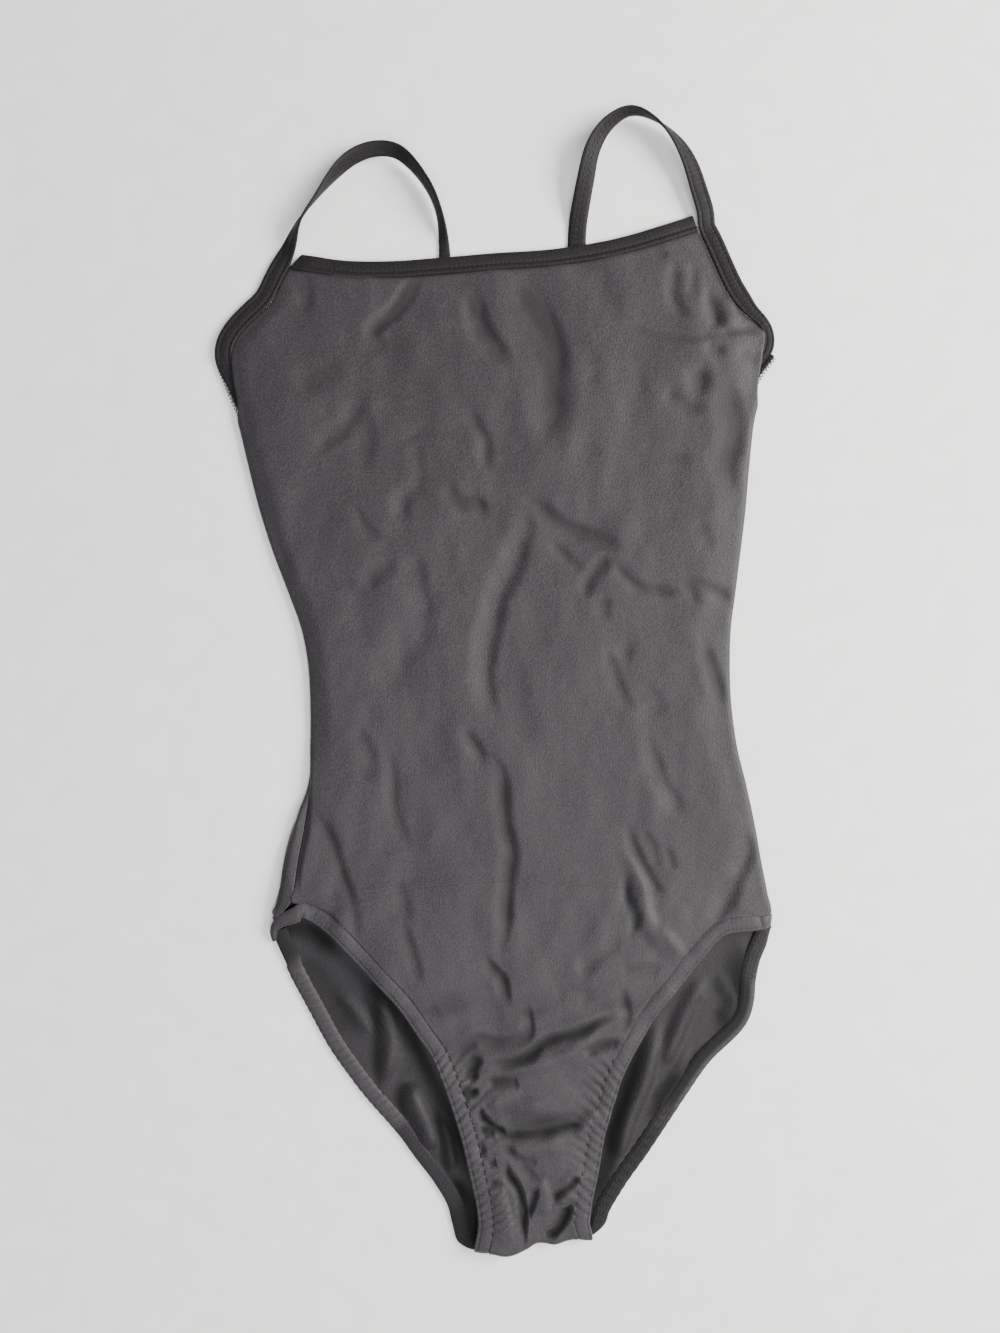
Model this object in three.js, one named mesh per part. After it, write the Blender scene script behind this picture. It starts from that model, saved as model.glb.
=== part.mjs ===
// Camisole leotard laid flat on a table, front up, its shoulder straps loose above the neckline.
// Millimetres, +Z up, +Y from the crotch to the straps, and the table at z = 0.
// The body is one flattened tube of cloth. Its front and back are the two parts of that tube
// between the side seams, and the bindings and hems are strips set along their edges.

import * as THREE from 'three';

// Driving dimensions: the cloth's wall, and the partings between sewn pieces
const WALL = 1.2;
const SEAM = 0.3;
const HEM_PARTING = 0.4;

// The side fold: how far it reaches outwards, the inset of its crest from the outline, and the
// cloth's length from the crest to where it lies flat
const FOLD_REACH = 2.2;
const CREST = WALL / 2 + FOLD_REACH;
const QUARTER = 3.4;

// The front swells up from its edges over EDGE_ROLL, and never comes lower over the back than
// CLEAR, or TAIL_COVER where a strap tail lies between them
const EDGE_ROLL = 24;
const CLEAR = 2.9;
const TAIL_COVER = 3.6;

// Bindings, straps and hems
const NECK_WIDTH = 9.6;
const STRAP_WIDTH = 11;
const BINDING_THICK = 2;
const STRAP_THICK = 1.6;
const HEM_WIDTH = 9;
const HEM_THICK = 2.2;
const GATHER_RISE = 0.55;
const NECK_RAISE = 0.3;
const BACK_BINDING_RAISE = 0.4;

// How finely each panel is divided
const TOP_ROWS = 2;
const BODY_ROWS = 2;
const FRONT_LEG_ROWS = 1.5;
const BACK_LEG_ROWS = 1;
const EDGE_ZONE = 5.1;
const EDGE_SHARE = 0.2;
const EDGE_COLUMNS = 3;
const FRONT_COLUMNS = 23;
const BACK_COLUMNS = 12;

function table(columns, rows) {
  return rows.map((row) => Object.fromEntries(columns.map((name, k) => [name, row[k]])));
}

// Each section runs across the garment from its left outline to its right one. A seam value is
// how far along the cloth the seam or edge lies from the crest of the side fold: under 0 is
// below it, over 0 is on top, and QUARTER or more is clear of the fold. The arch bows the
// section up the body, crown is the height of the cloth there, and leftZ and rightZ are its
// heights at the two edges.
const SECTION = ['leftX', 'leftY', 'leftSeam', 'rightX', 'rightY', 'rightSeam',
  'arch', 'crown', 'leftZ', 'rightZ'];

// From the neckline down the armholes to the underarms
const FRONT_TOP = table(SECTION, [
  [-127.6, 246, 3.4, 124.6, 270, 3.4, -11.7, 1.8, 1.8, 1.8],
  [-132, 238.5, 3.4, 129.4, 261, 3.4, -11, 2.8, 1.8, 1.8],
  [-138.4, 227, 3.4, 136, 247, 3.4, -9, 4.2, 1.9, 2.2],
  [-149, 218, 3.4, 143.2, 233, 3.4, -6, 5.0, 2.0, 2.6],
  [-157.6, 209, 3.4, 152.2, 222, 3.4, -3, 5.4, 2.4, 3.0],
  [-162, 199, 3.4, 164.2, 212, 3.4, 0, 5.6, 3.2, 3.4],
  [-161, 183, 3.4, 163.4, 197, 3.4, 0, 5.8, 3.5, 3.6],
  [-158.4, 166, 3.4, 160.4, 175, 3.4, 0, 5.8, 3.6, 3.6],
]);

// From the underarms to the hips, shared by both panels. The left seam has turned forward
// over the hip, so there it climbs from under the fold to the top.
const BODY = table(SECTION, [
  [-153.6, 147, -3.4, 155.8, 156, -3.4, 0, 5.6, 3.8, 3.8],
  [-149.6, 130, -3.4, 153, 130, -3.4, 0, 5.6, 4.0, 4.2],
  [-143.6, 106, -3.4, 151, 106, -3.4, 0, 5.6, 4.0, 4.2],
  [-135.4, 80, -3.4, 148, 80, -3.4, 0, 5.6, 4.0, 4.2],
  [-125.2, 53, -3.4, 144.6, 53, -3.4, 0, 5.6, 4.0, 4.2],
  [-118, 33, -3.4, 142, 33, -3.4, 0, 5.6, 4.0, 4.2],
  [-114, 13, -3.4, 141.4, 13, -3.4, 0, 5.6, 4.0, 4.2],
  [-112.4, -11, -3.4, 142, -11, -3.4, 0, 5.6, 4.2, 4.2],
  [-112.4, -38, -2.8, 145.4, -38, -3.4, 0, 5.6, 4.4, 4.4],
  [-113.4, -61, 1.8, 151, -61, -3.4, 2, 5.6, 4.6, 4.4],
  [-122.4, -86, 8.0, 156.4, -86, -3.4, 8, 5.8, 4.6, 4.6],
  [-128.8, -108, 10.6, 160.2, -108, -3.4, 15, 6.0, 4.6, 4.8],
  [-131.4, -124, 11.0, 163.6, -126, -3.4, 20, 6.2, 4.6, 5.0],
  [-133.8, -134, 11.4, 165.8, -139, 0, 24, 6.4, 4.6, 5.2],
]);

// The back has the same sides, and its scoop bows its upper sections down
const SCOOP = table(['arch'], [[-80], [-66], [-50], [-34], [-20], [-10], [-4], [0]]);

// From the hips along the front leg hems to the crotch
const FRONT_LEGS = table(SECTION, [
  [-115, -133, 3.4, 155.4, -140.4, 3.4, 22, 6.6, 5.6, 5.6],
  [-97.8, -144, 3.4, 136, -143.6, 3.4, 24, 7.0, 6.8, 6.6],
  [-83.2, -159, 3.4, 120.4, -159, 3.4, 21, 7.4, 7.6, 7.4],
  [-68.8, -174, 3.4, 106, -177, 3.4, 18, 7.8, 8.0, 8.0],
  [-55.6, -188, 3.4, 95.2, -189, 3.4, 15, 8.2, 8.4, 8.4],
  [-43.6, -205, 3.4, 85.6, -204, 3.4, 12, 8.4, 8.6, 8.6],
  [-32.8, -221, 3.4, 76, -221, 3.4, 9, 8.6, 8.8, 8.8],
  [-25.6, -238, 3.4, 68.8, -237, 3.4, 6, 8.8, 9.0, 9.0],
  [-20.8, -252, 3.4, 64.6, -251, 3.4, 4, 9.0, 9.0, 9.0],
  [-14.8, -271, 3.4, 59.2, -270, 3.4, 2, 9.0, 9.0, 9.0],
  [-10, -292, 3.4, 55.6, -291, 3.4, 1, 8.6, 8.8, 8.8],
  [-5.8, -312, 3.4, 51.4, -311, 3.4, 0, 8.2, 8.4, 8.4],
  [-4.6, -326, 3.4, 50.2, -325, 3.4, 0, 7.8, 8.0, 8.0],
  [-7, -339.5, 3.4, 52, -333, 3.4, 0, 7.2, 7.2, 7.2],
]);

// From the hips along the back leg hems to the crotch
const BACK_LEGS = table(SECTION, [
  [-135.4, -141, 7, 162.4, -146, -3.4, 22, 6.4, 4.6, 4.6],
  [-131, -148, 1, 158.2, -154, -3.4, 16, 6.0, 4.2, 3.6],
  [-129, -154, -3.4, 153.6, -166, -3.4, 8, 5.0, 3.6, 3.0],
  [-124.5, -161, -3.4, 150.8, -180, -3.4, 0, 0.6, 3.0, 0.6],
  [-118.6, -174, -3.4, 149.8, -192, -3.4, 0, 0.6, 3.0, 0.6],
  [-108.4, -193, -3.4, 145, -204, -3.4, 0, 0.6, 3.0, 0.6],
  [-96.4, -215, -3.4, 125.6, -223, -3.4, 0, 0.6, 3.0, 0.6],
  [-83.8, -233, -3.4, 111.4, -243, -3.4, 0, 0.6, 3.0, 0.6],
  [-73.6, -246, -3.4, 102.8, -256, -3.4, 0, 0.6, 3.0, 0.6],
  [-55, -267, -3.4, 86.2, -281, -3.4, 0, 0.6, 3.0, 0.6],
  [-44.8, -281, -3.4, 76.8, -294, -3.4, 0, 0.6, 3.0, 0.6],
  [-34, -295, -3.4, 69, -306, -3.4, 0, 0.6, 3.0, 0.6],
  [-24.4, -311, -3.4, 62.8, -317, -3.4, 0, 0.6, 3.0, 0.6],
  [-20.8, -324, -3.4, 60.4, -326, -3.4, 0, 0.6, 3.0, 0.6],
  [-17.6, -337.4, -3.4, 59.4, -329.4, -3.4, 0, 0.6, 3.0, 0.6],
]);

// The largest folds: a soft trough or ridge along a bent line through three points, with its
// half width and its rise, under 0 for a trough
const FOLD = ['x1', 'y1', 'x2', 'y2', 'x3', 'y3', 'half', 'rise'];
const FRONT_FOLDS = table(FOLD, [
  [-44, 242, -59, 226, -72, 203, 8, -1.8],
  [-12, 230, -5, 208, 11, 188, 9, -1.9],
  [14, 242, 34, 212, 32, 145, 12, -2.6],
  [-14, 167, -10, 155, -6, 132, 8, -2.0],
  [-31, 120, -16, 110, -8, 96, 8, -1.9],
  [129, 238, 133, 224, 137, 211, 8, -2.6],
  [70, 214, 110, 208, 140, 200, 7, -1.3],
  [138, 187, 142, 155, 144, 112, 10, -2.3],
  [20, 113, 43, 92, 75, 81, 12, -2.4],
  [71, 75, 85, 57, 110, 52, 9, -2.0],
  [68, 77, 61, 66, 52, 52, 8, -1.5],
  [16, 104, 10, 58, -5, 2, 12, -2.6],
  [63, 54, 80, 2, 110, -80, 18, -2.7],
  [-16, -31, 5, -64, 10, -100, 10, -2.2],
  [11, -112, 5, -140, 3, -170, 9, -3.0],
  [-106, -70, -93, -110, -85, -155, 10, -2.3],
  [72, -89, 90, -131, 106, -164, 9, 2.8],
  [78, -112, 83, -132, 82, -152, 8, -2.4],
  [149, -88, 146, -116, 131, -143, 10, -2.7],
  [-4, -228, 32, -218, 66, -202, 9, -2.2],
  [-16, -252, 12, -272, 52, -266, 8, -3.0],
  [7, -286, 15, -310, 18, -338, 8, -3.0],
  [46, -310, 36, -321, 28, -336, 6, -2.2],
  [-79, 171, -87, 155, -101, 144, 10, -1.4],
  [-40, 123, -51, 111, -55, 98, 9, -1.4],
  [-47, 74, -42, 38, -68, -6, 16, -1.6],
  [-67, -40, -58, -82, -48, -160, 10, -1.2],
]);

// The back is fuller in the seat, so it stands in ridges where the leg openings show it
const BACK_FOLDS = table(FOLD, [
  [-66, -196, -63, -220, -66, -246, 8, 4.2],
  [-50, -242, -44, -262, -37, -284, 7, 4.4],
  [96, -204, 90, -240, 72, -290, 8, 5.2],
  [128, -178, 112, -206, 100, -232, 9, 3.6],
  [134, -176, 142, -192, 136, -204, 8, 2.2],
]);

// The strap tails that pass flat under the front, from the neckline to the scoop
const TAILS = table(FOLD, [
  [-31, 300, -30.5, 255, -28, 205, 22, 5],
  [48.6, 305, 48.8, 255, 49, 205, 22, 5],
]);

// Shoulder straps beyond the armholes: the middle of the strap, and how far it has turned from
// lying flat, outer face up, towards lying flat with its inner face up
const STRAP = ['x', 'y', 'z', 'turn'];
const LEFT_STRAP = table(STRAP, [
  [-125, 261, 3.6, 25],
  [-119, 276, 6.0, 64],
  [-108, 291, 6.8, 80],
  [-98, 304, 7.0, 104],
  [-87, 314.5, 7.0, 132],
  [-74, 320, 6.8, 155],
  [-60, 319, 6.8, 146],
  [-49, 309.5, 7.0, 120],
  [-39, 295, 6.6, 112],
  [-33.8, 281, 5.8, 122],
  [-31.6, 270, 2.2, 168],
  [-31, 262, 1.0, 180],
  [-30.2, 240, 1.0, 180],
  [-29, 190, 1.0, 180],
  [-28, 135, 1.0, 180],
  [-26.4, 86, 1.0, 180],
]);
const RIGHT_STRAP = table(STRAP, [
  [127, 280, 3.6, 12],
  [122, 296, 5.0, 18],
  [116, 313, 6.6, 38],
  [107, 327, 8.0, 56],
  [95, 337, 9.0, 74],
  [81, 342, 9.6, 96],
  [67, 334, 9.6, 122],
  [58, 320, 9.0, 146],
  [53.4, 300, 7.4, 166],
  [50.8, 286, 4.0, 174],
  [49.4, 277, 1.6, 179],
  [48.8, 267, 1.0, 180],
  [48.8, 244, 1.0, 180],
  [49, 192, 1.0, 180],
  [49.2, 138, 1.0, 180],
  [49.4, 96, 1.0, 180],
]);

// The back binding's ends, which come round the underarms from below: its outer edge
const BACK_BINDING_LEFT = [[-168.6, 197], [-166.4, 188], [-160.6, 174], [-153.6, 158]];
const BACK_BINDING_RIGHT = [[155.4, 168], [160.4, 180], [166.4, 189], [169.6, 200]];
const BINDING_FLOOR = 1.1;

// Gathers along each hem: where they start and stop as shares of its length, and how many
const HEM_GATHERS = {
  front_leg_hem_left: { from: 0.56, to: 0.97, waves: 21 },
  front_leg_hem_right: { from: 0.52, to: 0.93, waves: 15 },
  back_leg_hem_left: { from: 0.1, to: 0.62, waves: 25 },
  back_leg_hem_right: { from: 0.42, to: 0.95, waves: 10 },
};

const UP = new THREE.Vector3(0, 0, 1);
const mix = THREE.MathUtils.lerp;
const clamp = THREE.MathUtils.clamp;

// Smooth curve through neighbouring rows of a table, column by column
function between(rows, at) {
  const last = rows.length - 1;
  const k = Math.min(Math.floor(clamp(at, 0, last)), last - 1);
  const f = clamp(at, 0, last) - k;
  const near = [k - 1, k, k + 1, k + 2].map((n) => rows[clamp(n, 0, last)]);
  const result = {};
  for (const name of Object.keys(near[1])) {
    const [a, b, c, d] = near.map((row) => row[name]);
    const slopeIn = (c - a) / 2;
    const slopeOut = (d - b) / 2;
    const cubic = (2 * b - 2 * c + slopeIn + slopeOut) * f * f * f;
    const square = (3 * c - 3 * b - 2 * slopeIn - slopeOut) * f * f;
    result[name] = cubic + square + slopeIn * f + b;
  }
  return result;
}

// Height that one fold adds at a place, from its distance to the fold's bent line. A fold fades
// towards its two ends.
const FOLD_STEPS = 10;
const FADE_RATE = 3;
const END_SHARE = 0.25;
function foldRelief(fold, x, y) {
  let relief = 0;
  for (let k = 0; k <= FOLD_STEPS; k += 1) {
    const f = k / FOLD_STEPS;
    const bend = 4 * f * (1 - f);
    const lineX = mix(fold.x1, fold.x3, f) + bend * (fold.x2 - (fold.x1 + fold.x3) / 2);
    const lineY = mix(fold.y1, fold.y3, f) + bend * (fold.y2 - (fold.y1 + fold.y3) / 2);
    const far = Math.hypot(x - lineX, y - lineY) / fold.half;
    const fade = Math.min(1, FADE_RATE * Math.min(f, 1 - f) + END_SHARE);
    if (far < 1) relief = Math.max(relief, fade * (1 - far * far) ** 2);
  }
  return relief * fold.rise;
}

function allFolds(folds, x, y) {
  const reliefs = folds.map((fold) => foldRelief(fold, x, y));
  return Math.min(0, ...reliefs) + Math.max(0, ...reliefs);
}

// Place on a section, an inset away from its left outline in plan
function planPoint(section, inset) {
  const across = Math.hypot(section.rightX - section.leftX, section.rightY - section.leftY);
  const f = inset / across;
  const g = clamp((inset - CREST) / (across - 2 * CREST), 0, 1);
  const y = mix(section.leftY, section.rightY, f) + section.arch * 4 * g * (1 - g);
  return new THREE.Vector3(mix(section.leftX, section.rightX, f), y, 0);
}

function edgeRise(section, inset, across) {
  const fromLeft = THREE.MathUtils.smoothstep(inset, 0, EDGE_ROLL);
  const fromRight = THREE.MathUtils.smoothstep(across - inset, 0, EDGE_ROLL);
  const leftDrop = (section.crown - section.leftZ) * (1 - fromLeft);
  return section.crown - leftDrop - (section.crown - section.rightZ) * (1 - fromRight);
}

function frontHeight(section, inset, across, place) {
  const base = edgeRise(section, inset, across);
  const folded = base + allFolds(FRONT_FOLDS, place.x, place.y);
  const overTail = Math.max(...TAILS.map((tail) => foldRelief(tail, place.x, place.y)));
  return Math.max(folded, Math.min(base, CLEAR), Math.min(overTail, TAIL_COVER));
}

function backHeight(place) {
  return WALL / 2 + allFolds(BACK_FOLDS, place.x, place.y);
}

// One point of the flattened tube: a distance along the cloth from the crest of a side fold,
// over 0 on the front and under 0 on the back
function tubePoint(section, side, along) {
  const across = Math.hypot(section.rightX - section.leftX, section.rightY - section.leftY);
  const crestInset = side === 'left' ? CREST : across - CREST;
  const crestPlace = planPoint(section, crestInset);
  if (Math.abs(along) >= QUARTER) {
    const reach = CREST + Math.abs(along) - QUARTER;
    const inset = side === 'left' ? reach : across - reach;
    const place = planPoint(section, inset);
    place.z = along > 0 ? frontHeight(section, inset, across, place) : backHeight(place);
    return place;
  }
  const angle = (along / QUARTER) * (Math.PI / 2);
  const reach = CREST - FOLD_REACH * Math.cos(angle);
  const place = planPoint(section, side === 'left' ? reach : across - reach);
  const top = side === 'left' ? section.leftZ : section.rightZ;
  const full = frontHeight({ ...section, crown: top }, crestInset, across, crestPlace);
  place.z = WALL / 2 + (full - WALL / 2) * (1 + Math.sin(angle)) / 2;
  return place;
}

// Each panel stops half a seam short of it, and a little more where the seam climbs the fold
const CLIMB_PARTING = 0.36;
function seamParting(seam) {
  const angle = (clamp(seam / QUARTER, -1, 1) * Math.PI) / 2;
  return SEAM / 2 + CLIMB_PARTING * Math.cos(angle);
}

// One row of points of a panel: face is 1 for the front and -1 for the back
function panelRow(section, face, innerColumns) {
  const across = Math.hypot(section.rightX - section.leftX, section.rightY - section.leftY);
  const leftStart = face * section.leftSeam + seamParting(section.leftSeam);
  const rightStart = face * section.rightSeam + seamParting(section.rightSeam);
  const length = across - 2 * CREST + 2 * QUARTER - leftStart - rightStart;
  const zone = Math.min(EDGE_ZONE, length * EDGE_SHARE);
  const distances = [];
  for (let k = 0; k < EDGE_COLUMNS; k += 1) distances.push((zone * k) / EDGE_COLUMNS);
  for (let k = 0; k <= innerColumns; k += 1) {
    distances.push(zone + ((length - 2 * zone) * k) / innerColumns);
  }
  for (let k = 1; k <= EDGE_COLUMNS; k += 1) {
    distances.push(length - zone + (zone * k) / EDGE_COLUMNS);
  }
  return distances.map((distance) => (distance <= length / 2
    ? tubePoint(section, 'left', face * (leftStart + distance))
    : tubePoint(section, 'right', face * (rightStart + length - distance))));
}

// A stretch of a list of sections divided evenly, with so many rows to a section
function fineSections(sections, first, last, rows) {
  const count = Math.round((last - first) * rows);
  const at = (k) => between(sections, first + ((last - first) * k) / count);
  return Array.from({ length: count + 1 }, (_, k) => at(k));
}

// The front turns under at the crotch: more rows round a half circle of cloth
const CROTCH_STEPS = 4;
const CROTCH_REACH = 3.1;
function turnUnder(grid) {
  const last = grid[grid.length - 1];
  for (let k = 1; k <= CROTCH_STEPS; k += 1) {
    const angle = Math.PI / 2 - (Math.PI * k) / CROTCH_STEPS;
    grid.push(last.map((point) => new THREE.Vector3(
      point.x,
      point.y - CROTCH_REACH * Math.cos(angle),
      WALL / 2 + (point.z - WALL / 2) * (1 + Math.sin(angle)) / 2,
    )));
  }
  return grid;
}

// Direction of a line of points at one of them, true to the curve at its ends too
function lineRun(points, k) {
  const last = points.length - 1;
  if (k > 0 && k < last) return points[k + 1].clone().sub(points[k - 1]);
  const [end, next, third] = k === 0 ? points.slice(0, 3) : points.slice(-3).reverse();
  const run = next.clone().multiplyScalar(4).addScaledVector(end, -3).sub(third);
  return k === 0 ? run : run.negate();
}

// Unit normal at each point of a grid, on the side that faces up where the cloth lies face up
function gridNormals(grid) {
  const columns = grid[0].map((_, j) => grid.map((row) => row[j]));
  return grid.map((row, i) => row.map((_, j) => {
    const along = lineRun(columns[j], i);
    return along.cross(lineRun(row, j)).normalize();
  }));
}

function solid(positions, triangles) {
  const at = (k) => new THREE.Vector3().fromArray(positions, 3 * k);
  let volume = 0;
  for (let k = 0; k < triangles.length; k += 3) {
    volume += at(triangles[k]).dot(at(triangles[k + 1]).cross(at(triangles[k + 2])));
  }
  const geometry = new THREE.BufferGeometry();
  geometry.setAttribute('position', new THREE.Float32BufferAttribute(positions, 3));
  geometry.setIndex(volume < 0 ? triangles.slice().reverse() : triangles);
  return geometry;
}

// A closed wall of even thickness about a grid of points
function wall(grid, thickness) {
  const normals = gridNormals(grid);
  const rows = grid.length;
  const columns = grid[0].length;
  const positions = [];
  for (const side of [0.5, -0.5]) {
    for (let i = 0; i < rows; i += 1) {
      for (let j = 0; j < columns; j += 1) {
        const point = grid[i][j].clone().addScaledVector(normals[i][j], side * thickness);
        positions.push(point.x, point.y, point.z);
      }
    }
  }
  const under = rows * columns;
  const triangles = [];
  const quad = (a, b, c, d) => triangles.push(a, b, c, a, c, d);
  const index = (i, j) => i * columns + j;
  for (let i = 0; i + 1 < rows; i += 1) {
    for (let j = 0; j + 1 < columns; j += 1) {
      const [a, b, c, d] = [index(i, j), index(i + 1, j), index(i + 1, j + 1), index(i, j + 1)];
      quad(a, b, c, d);
      quad(under + a, under + d, under + c, under + b);
    }
    for (const j of [0, columns - 1]) {
      const [a, b] = j === 0 ? [index(i, j), index(i + 1, j)] : [index(i + 1, j), index(i, j)];
      quad(a, under + a, under + b, b);
    }
  }
  for (let j = 0; j + 1 < columns; j += 1) {
    for (const i of [0, rows - 1]) {
      const [a, b] = i === 0 ? [index(i, j + 1), index(i, j)] : [index(i, j), index(i, j + 1)];
      quad(a, under + a, under + b, b);
    }
  }
  return solid(positions, triangles);
}

// A frame for each point along a panel's edge: the point, the level way out of the panel, and
// the face's normal. The way out is known at the last point and kept to the same side.
function edgeFrames(edge, lastOut) {
  const frames = [];
  let kept = lastOut;
  for (let k = edge.length - 1; k >= 0; k -= 1) {
    const { point, normal } = edge[k];
    const before = edge[Math.max(k - 1, 0)].point;
    const after = edge[Math.min(k + 1, edge.length - 1)].point;
    const out = after.clone().sub(before).cross(normal).setZ(0).normalize();
    if (out.dot(kept) < 0) out.negate();
    kept = out;
    frames.unshift({ point: point.clone(), out, normal: squareTo(normal, out) });
  }
  return frames;
}

function squareTo(normal, out) {
  return normal.clone().addScaledVector(out, -normal.dot(out)).normalize();
}

function columnEdge(grid, column, firstRow, lastRow) {
  const normals = gridNormals(grid);
  const edge = [];
  for (let i = firstRow; i <= lastRow; i += 1) {
    edge.push({ point: grid[i][column], normal: normals[i][column] });
  }
  const frames = edgeFrames(edge, new THREE.Vector3(column === 0 ? -1 : 1, 0, 0));
  if (firstRow > 0) {
    const seamRun = grid[firstRow][column].clone().sub(grid[firstRow - 1][column]);
    frames[0].out = seamRun.setZ(0).normalize();
    frames[0].point.addScaledVector(lineRun(frames.map((frame) => frame.point), 0).normalize(), SEAM);
    frames[0].normal = squareTo(frames[0].normal, frames[0].out);
  }
  return frames;
}

function rowEdge(grid, row) {
  const normals = gridNormals(grid);
  const edge = grid[row].map((point, k) => ({ point, normal: normals[row][k] }));
  return edgeFrames(edge, new THREE.Vector3(0, 1, 0));
}

function frameBetween(a, b, f) {
  return {
    point: a.point.clone().lerp(b.point, f),
    out: a.out.clone().lerp(b.out, f).normalize(),
    normal: a.normal.clone().lerp(b.normal, f).normalize(),
  };
}

function runLengths(frames) {
  const lengths = [0];
  for (let k = 1; k < frames.length; k += 1) {
    lengths.push(lengths[k - 1] + frames[k].point.distanceTo(frames[k - 1].point));
  }
  return lengths;
}

// The frames again, with extra ones so that none is further from the next than a step
function refine(frames, stepAt) {
  const lengths = runLengths(frames);
  const total = lengths[lengths.length - 1];
  const fine = [];
  for (let k = 0; k + 1 < frames.length; k += 1) {
    const span = lengths[k + 1] - lengths[k];
    const pieces = Math.max(1, Math.round(span / stepAt((lengths[k] + span / 2) / total)));
    for (let n = 0; n < pieces; n += 1) fine.push(frameBetween(frames[k], frames[k + 1], n / pieces));
  }
  fine.push(frames[frames.length - 1]);
  return fine;
}

// A closed strip along frames. The section is a flat bar with eased edges: start and width run
// outwards from the frames, raise lifts its middle off the cloth's middle, and swell thickens
// its outer face at each frame. A corner of the section is its share of the width and of the
// thickness.
function strip(frames, { start, width, thick, raise = 0, swell = () => 0 }) {
  const section = [[0, -0.5], [0, 0.35], [0.12, 0.5], [0.88, 0.5], [1, 0.3], [1, -0.5]];
  const positions = [];
  frames.forEach((frame, k) => {
    for (const [u, h] of section) {
      const height = raise + h * thick + (h > 0 ? swell(k) : 0);
      const point = frame.point.clone().addScaledVector(frame.out, start + u * width);
      point.addScaledVector(frame.normal, height);
      positions.push(point.x, point.y, point.z);
    }
  });
  const around = section.length;
  const triangles = [];
  for (let k = 0; k + 1 < frames.length; k += 1) {
    for (let n = 0; n < around; n += 1) {
      const m = (n + 1) % around;
      const [a, b] = [k * around + n, k * around + m];
      triangles.push(a, b, b + around, a, b + around, a + around);
    }
  }
  const end = (frames.length - 1) * around;
  for (let n = 1; n + 1 < around; n += 1) {
    triangles.push(0, n + 1, n);
    triangles.push(end, end + n, end + n + 1);
  }
  return solid(positions, triangles);
}

// Hems: elastic draws their outer face into waves along part of their length
const PLAIN_STEP = 9;
function hemStrip(name, frames, face) {
  const { from, to, waves } = HEM_GATHERS[name];
  const lengths = runLengths(frames);
  const total = lengths[lengths.length - 1];
  const pitch = ((to - from) * total) / waves;
  const fine = refine(frames, (share) => (share > from && share < to ? pitch / 2 : PLAIN_STEP));
  const places = runLengths(fine).map((length) => length / total);
  const swell = (k) => (places[k] > from && places[k] < to && k % 2 === 0 ? GATHER_RISE : 0);
  return strip(fine, {
    start: HEM_PARTING,
    width: HEM_WIDTH,
    thick: HEM_THICK,
    raise: (face * (WALL - HEM_THICK)) / 2,
    swell,
  });
}

// Neckline binding: its left end leans to follow the strap that crosses it
const NECK_END_LEAN = 0.42;
const NECK_LEAN_STEPS = 5;
function neckBinding(frames) {
  const tangentLeft = frames[1].point.clone().sub(frames[0].point).normalize();
  frames.forEach((frame, k) => {
    frame.out.addScaledVector(tangentLeft, NECK_END_LEAN * Math.max(0, 1 - k / NECK_LEAN_STEPS));
  });
  return strip(frames, {
    start: SEAM, width: NECK_WIDTH, thick: BINDING_THICK, raise: NECK_RAISE,
  });
}

// A shoulder strap goes on from its armhole binding, turning about its own run as it goes
const STRAP_STEPS = 34;
function strapFrames(armhole, rows, outward) {
  const start = armhole[armhole.length - 1];
  const middle = start.point.clone().addScaledVector(start.out, SEAM + STRAP_WIDTH / 2);
  const points = [middle, ...rows.map((row) => new THREE.Vector3(row.x, row.y, row.z))];
  const turns = [{ turn: 0 }, ...rows.map((row) => ({ turn: row.turn }))];
  const curve = new THREE.CatmullRomCurve3(points, false, 'centripetal');
  const frames = armhole.slice();
  for (let k = 1; k <= STRAP_STEPS; k += 1) {
    const f = k / STRAP_STEPS;
    const turn = THREE.MathUtils.degToRad(between(turns, f * (turns.length - 1)).turn);
    const run = curve.getTangent(f);
    const side = UP.clone().cross(run).multiplyScalar(outward).normalize();
    const rise = side.clone().cross(run).normalize();
    if (rise.z < 0) rise.negate();
    const out = side.clone().multiplyScalar(Math.cos(turn)).addScaledVector(rise, -Math.sin(turn));
    const normal = rise.clone().multiplyScalar(Math.cos(turn));
    normal.addScaledVector(side, Math.sin(turn));
    const point = curve.getPoint(f).addScaledVector(out, -SEAM - STRAP_WIDTH / 2);
    frames.push({ point, out, normal });
  }
  return frames;
}

function strap(armhole, rows, outward) {
  return strip(strapFrames(armhole, rows, outward), {
    start: SEAM, width: STRAP_WIDTH, thick: STRAP_THICK,
  });
}

// Loose frames on the table for the ends of the back binding
function floorFrames(places, turnOut) {
  return places.map(([x, y], k) => {
    const before = places[Math.max(k - 1, 0)];
    const after = places[Math.min(k + 1, places.length - 1)];
    const run = new THREE.Vector3(after[0] - before[0], after[1] - before[1], 0).normalize();
    const out = new THREE.Vector3(run.y, -run.x, 0).multiplyScalar(turnOut);
    const point = new THREE.Vector3(x, y, BINDING_FLOOR - BACK_BINDING_RAISE);
    return { point, out, normal: UP.clone() };
  });
}

// Both panels take the same body sections, so their seams meet all the way
const frontSections = [...FRONT_TOP, ...BODY, ...FRONT_LEGS];
const backSections = [...BODY, ...BACK_LEGS];
const underarm = FRONT_TOP.length;
const hip = underarm + BODY.length - 1;
const body = fineSections(frontSections, underarm, hip, BODY_ROWS);
const scooped = body.map((section, k) => {
  const { arch } = between(SCOOP, k / BODY_ROWS);
  return { ...section, arch: section.arch + arch };
});
const frontTop = fineSections(frontSections, 0, underarm, TOP_ROWS);
const frontLegs = fineSections(frontSections, hip, frontSections.length - 1, FRONT_LEG_ROWS);
const backLegs = fineSections(backSections, BODY.length - 1, backSections.length - 1, BACK_LEG_ROWS);

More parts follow.
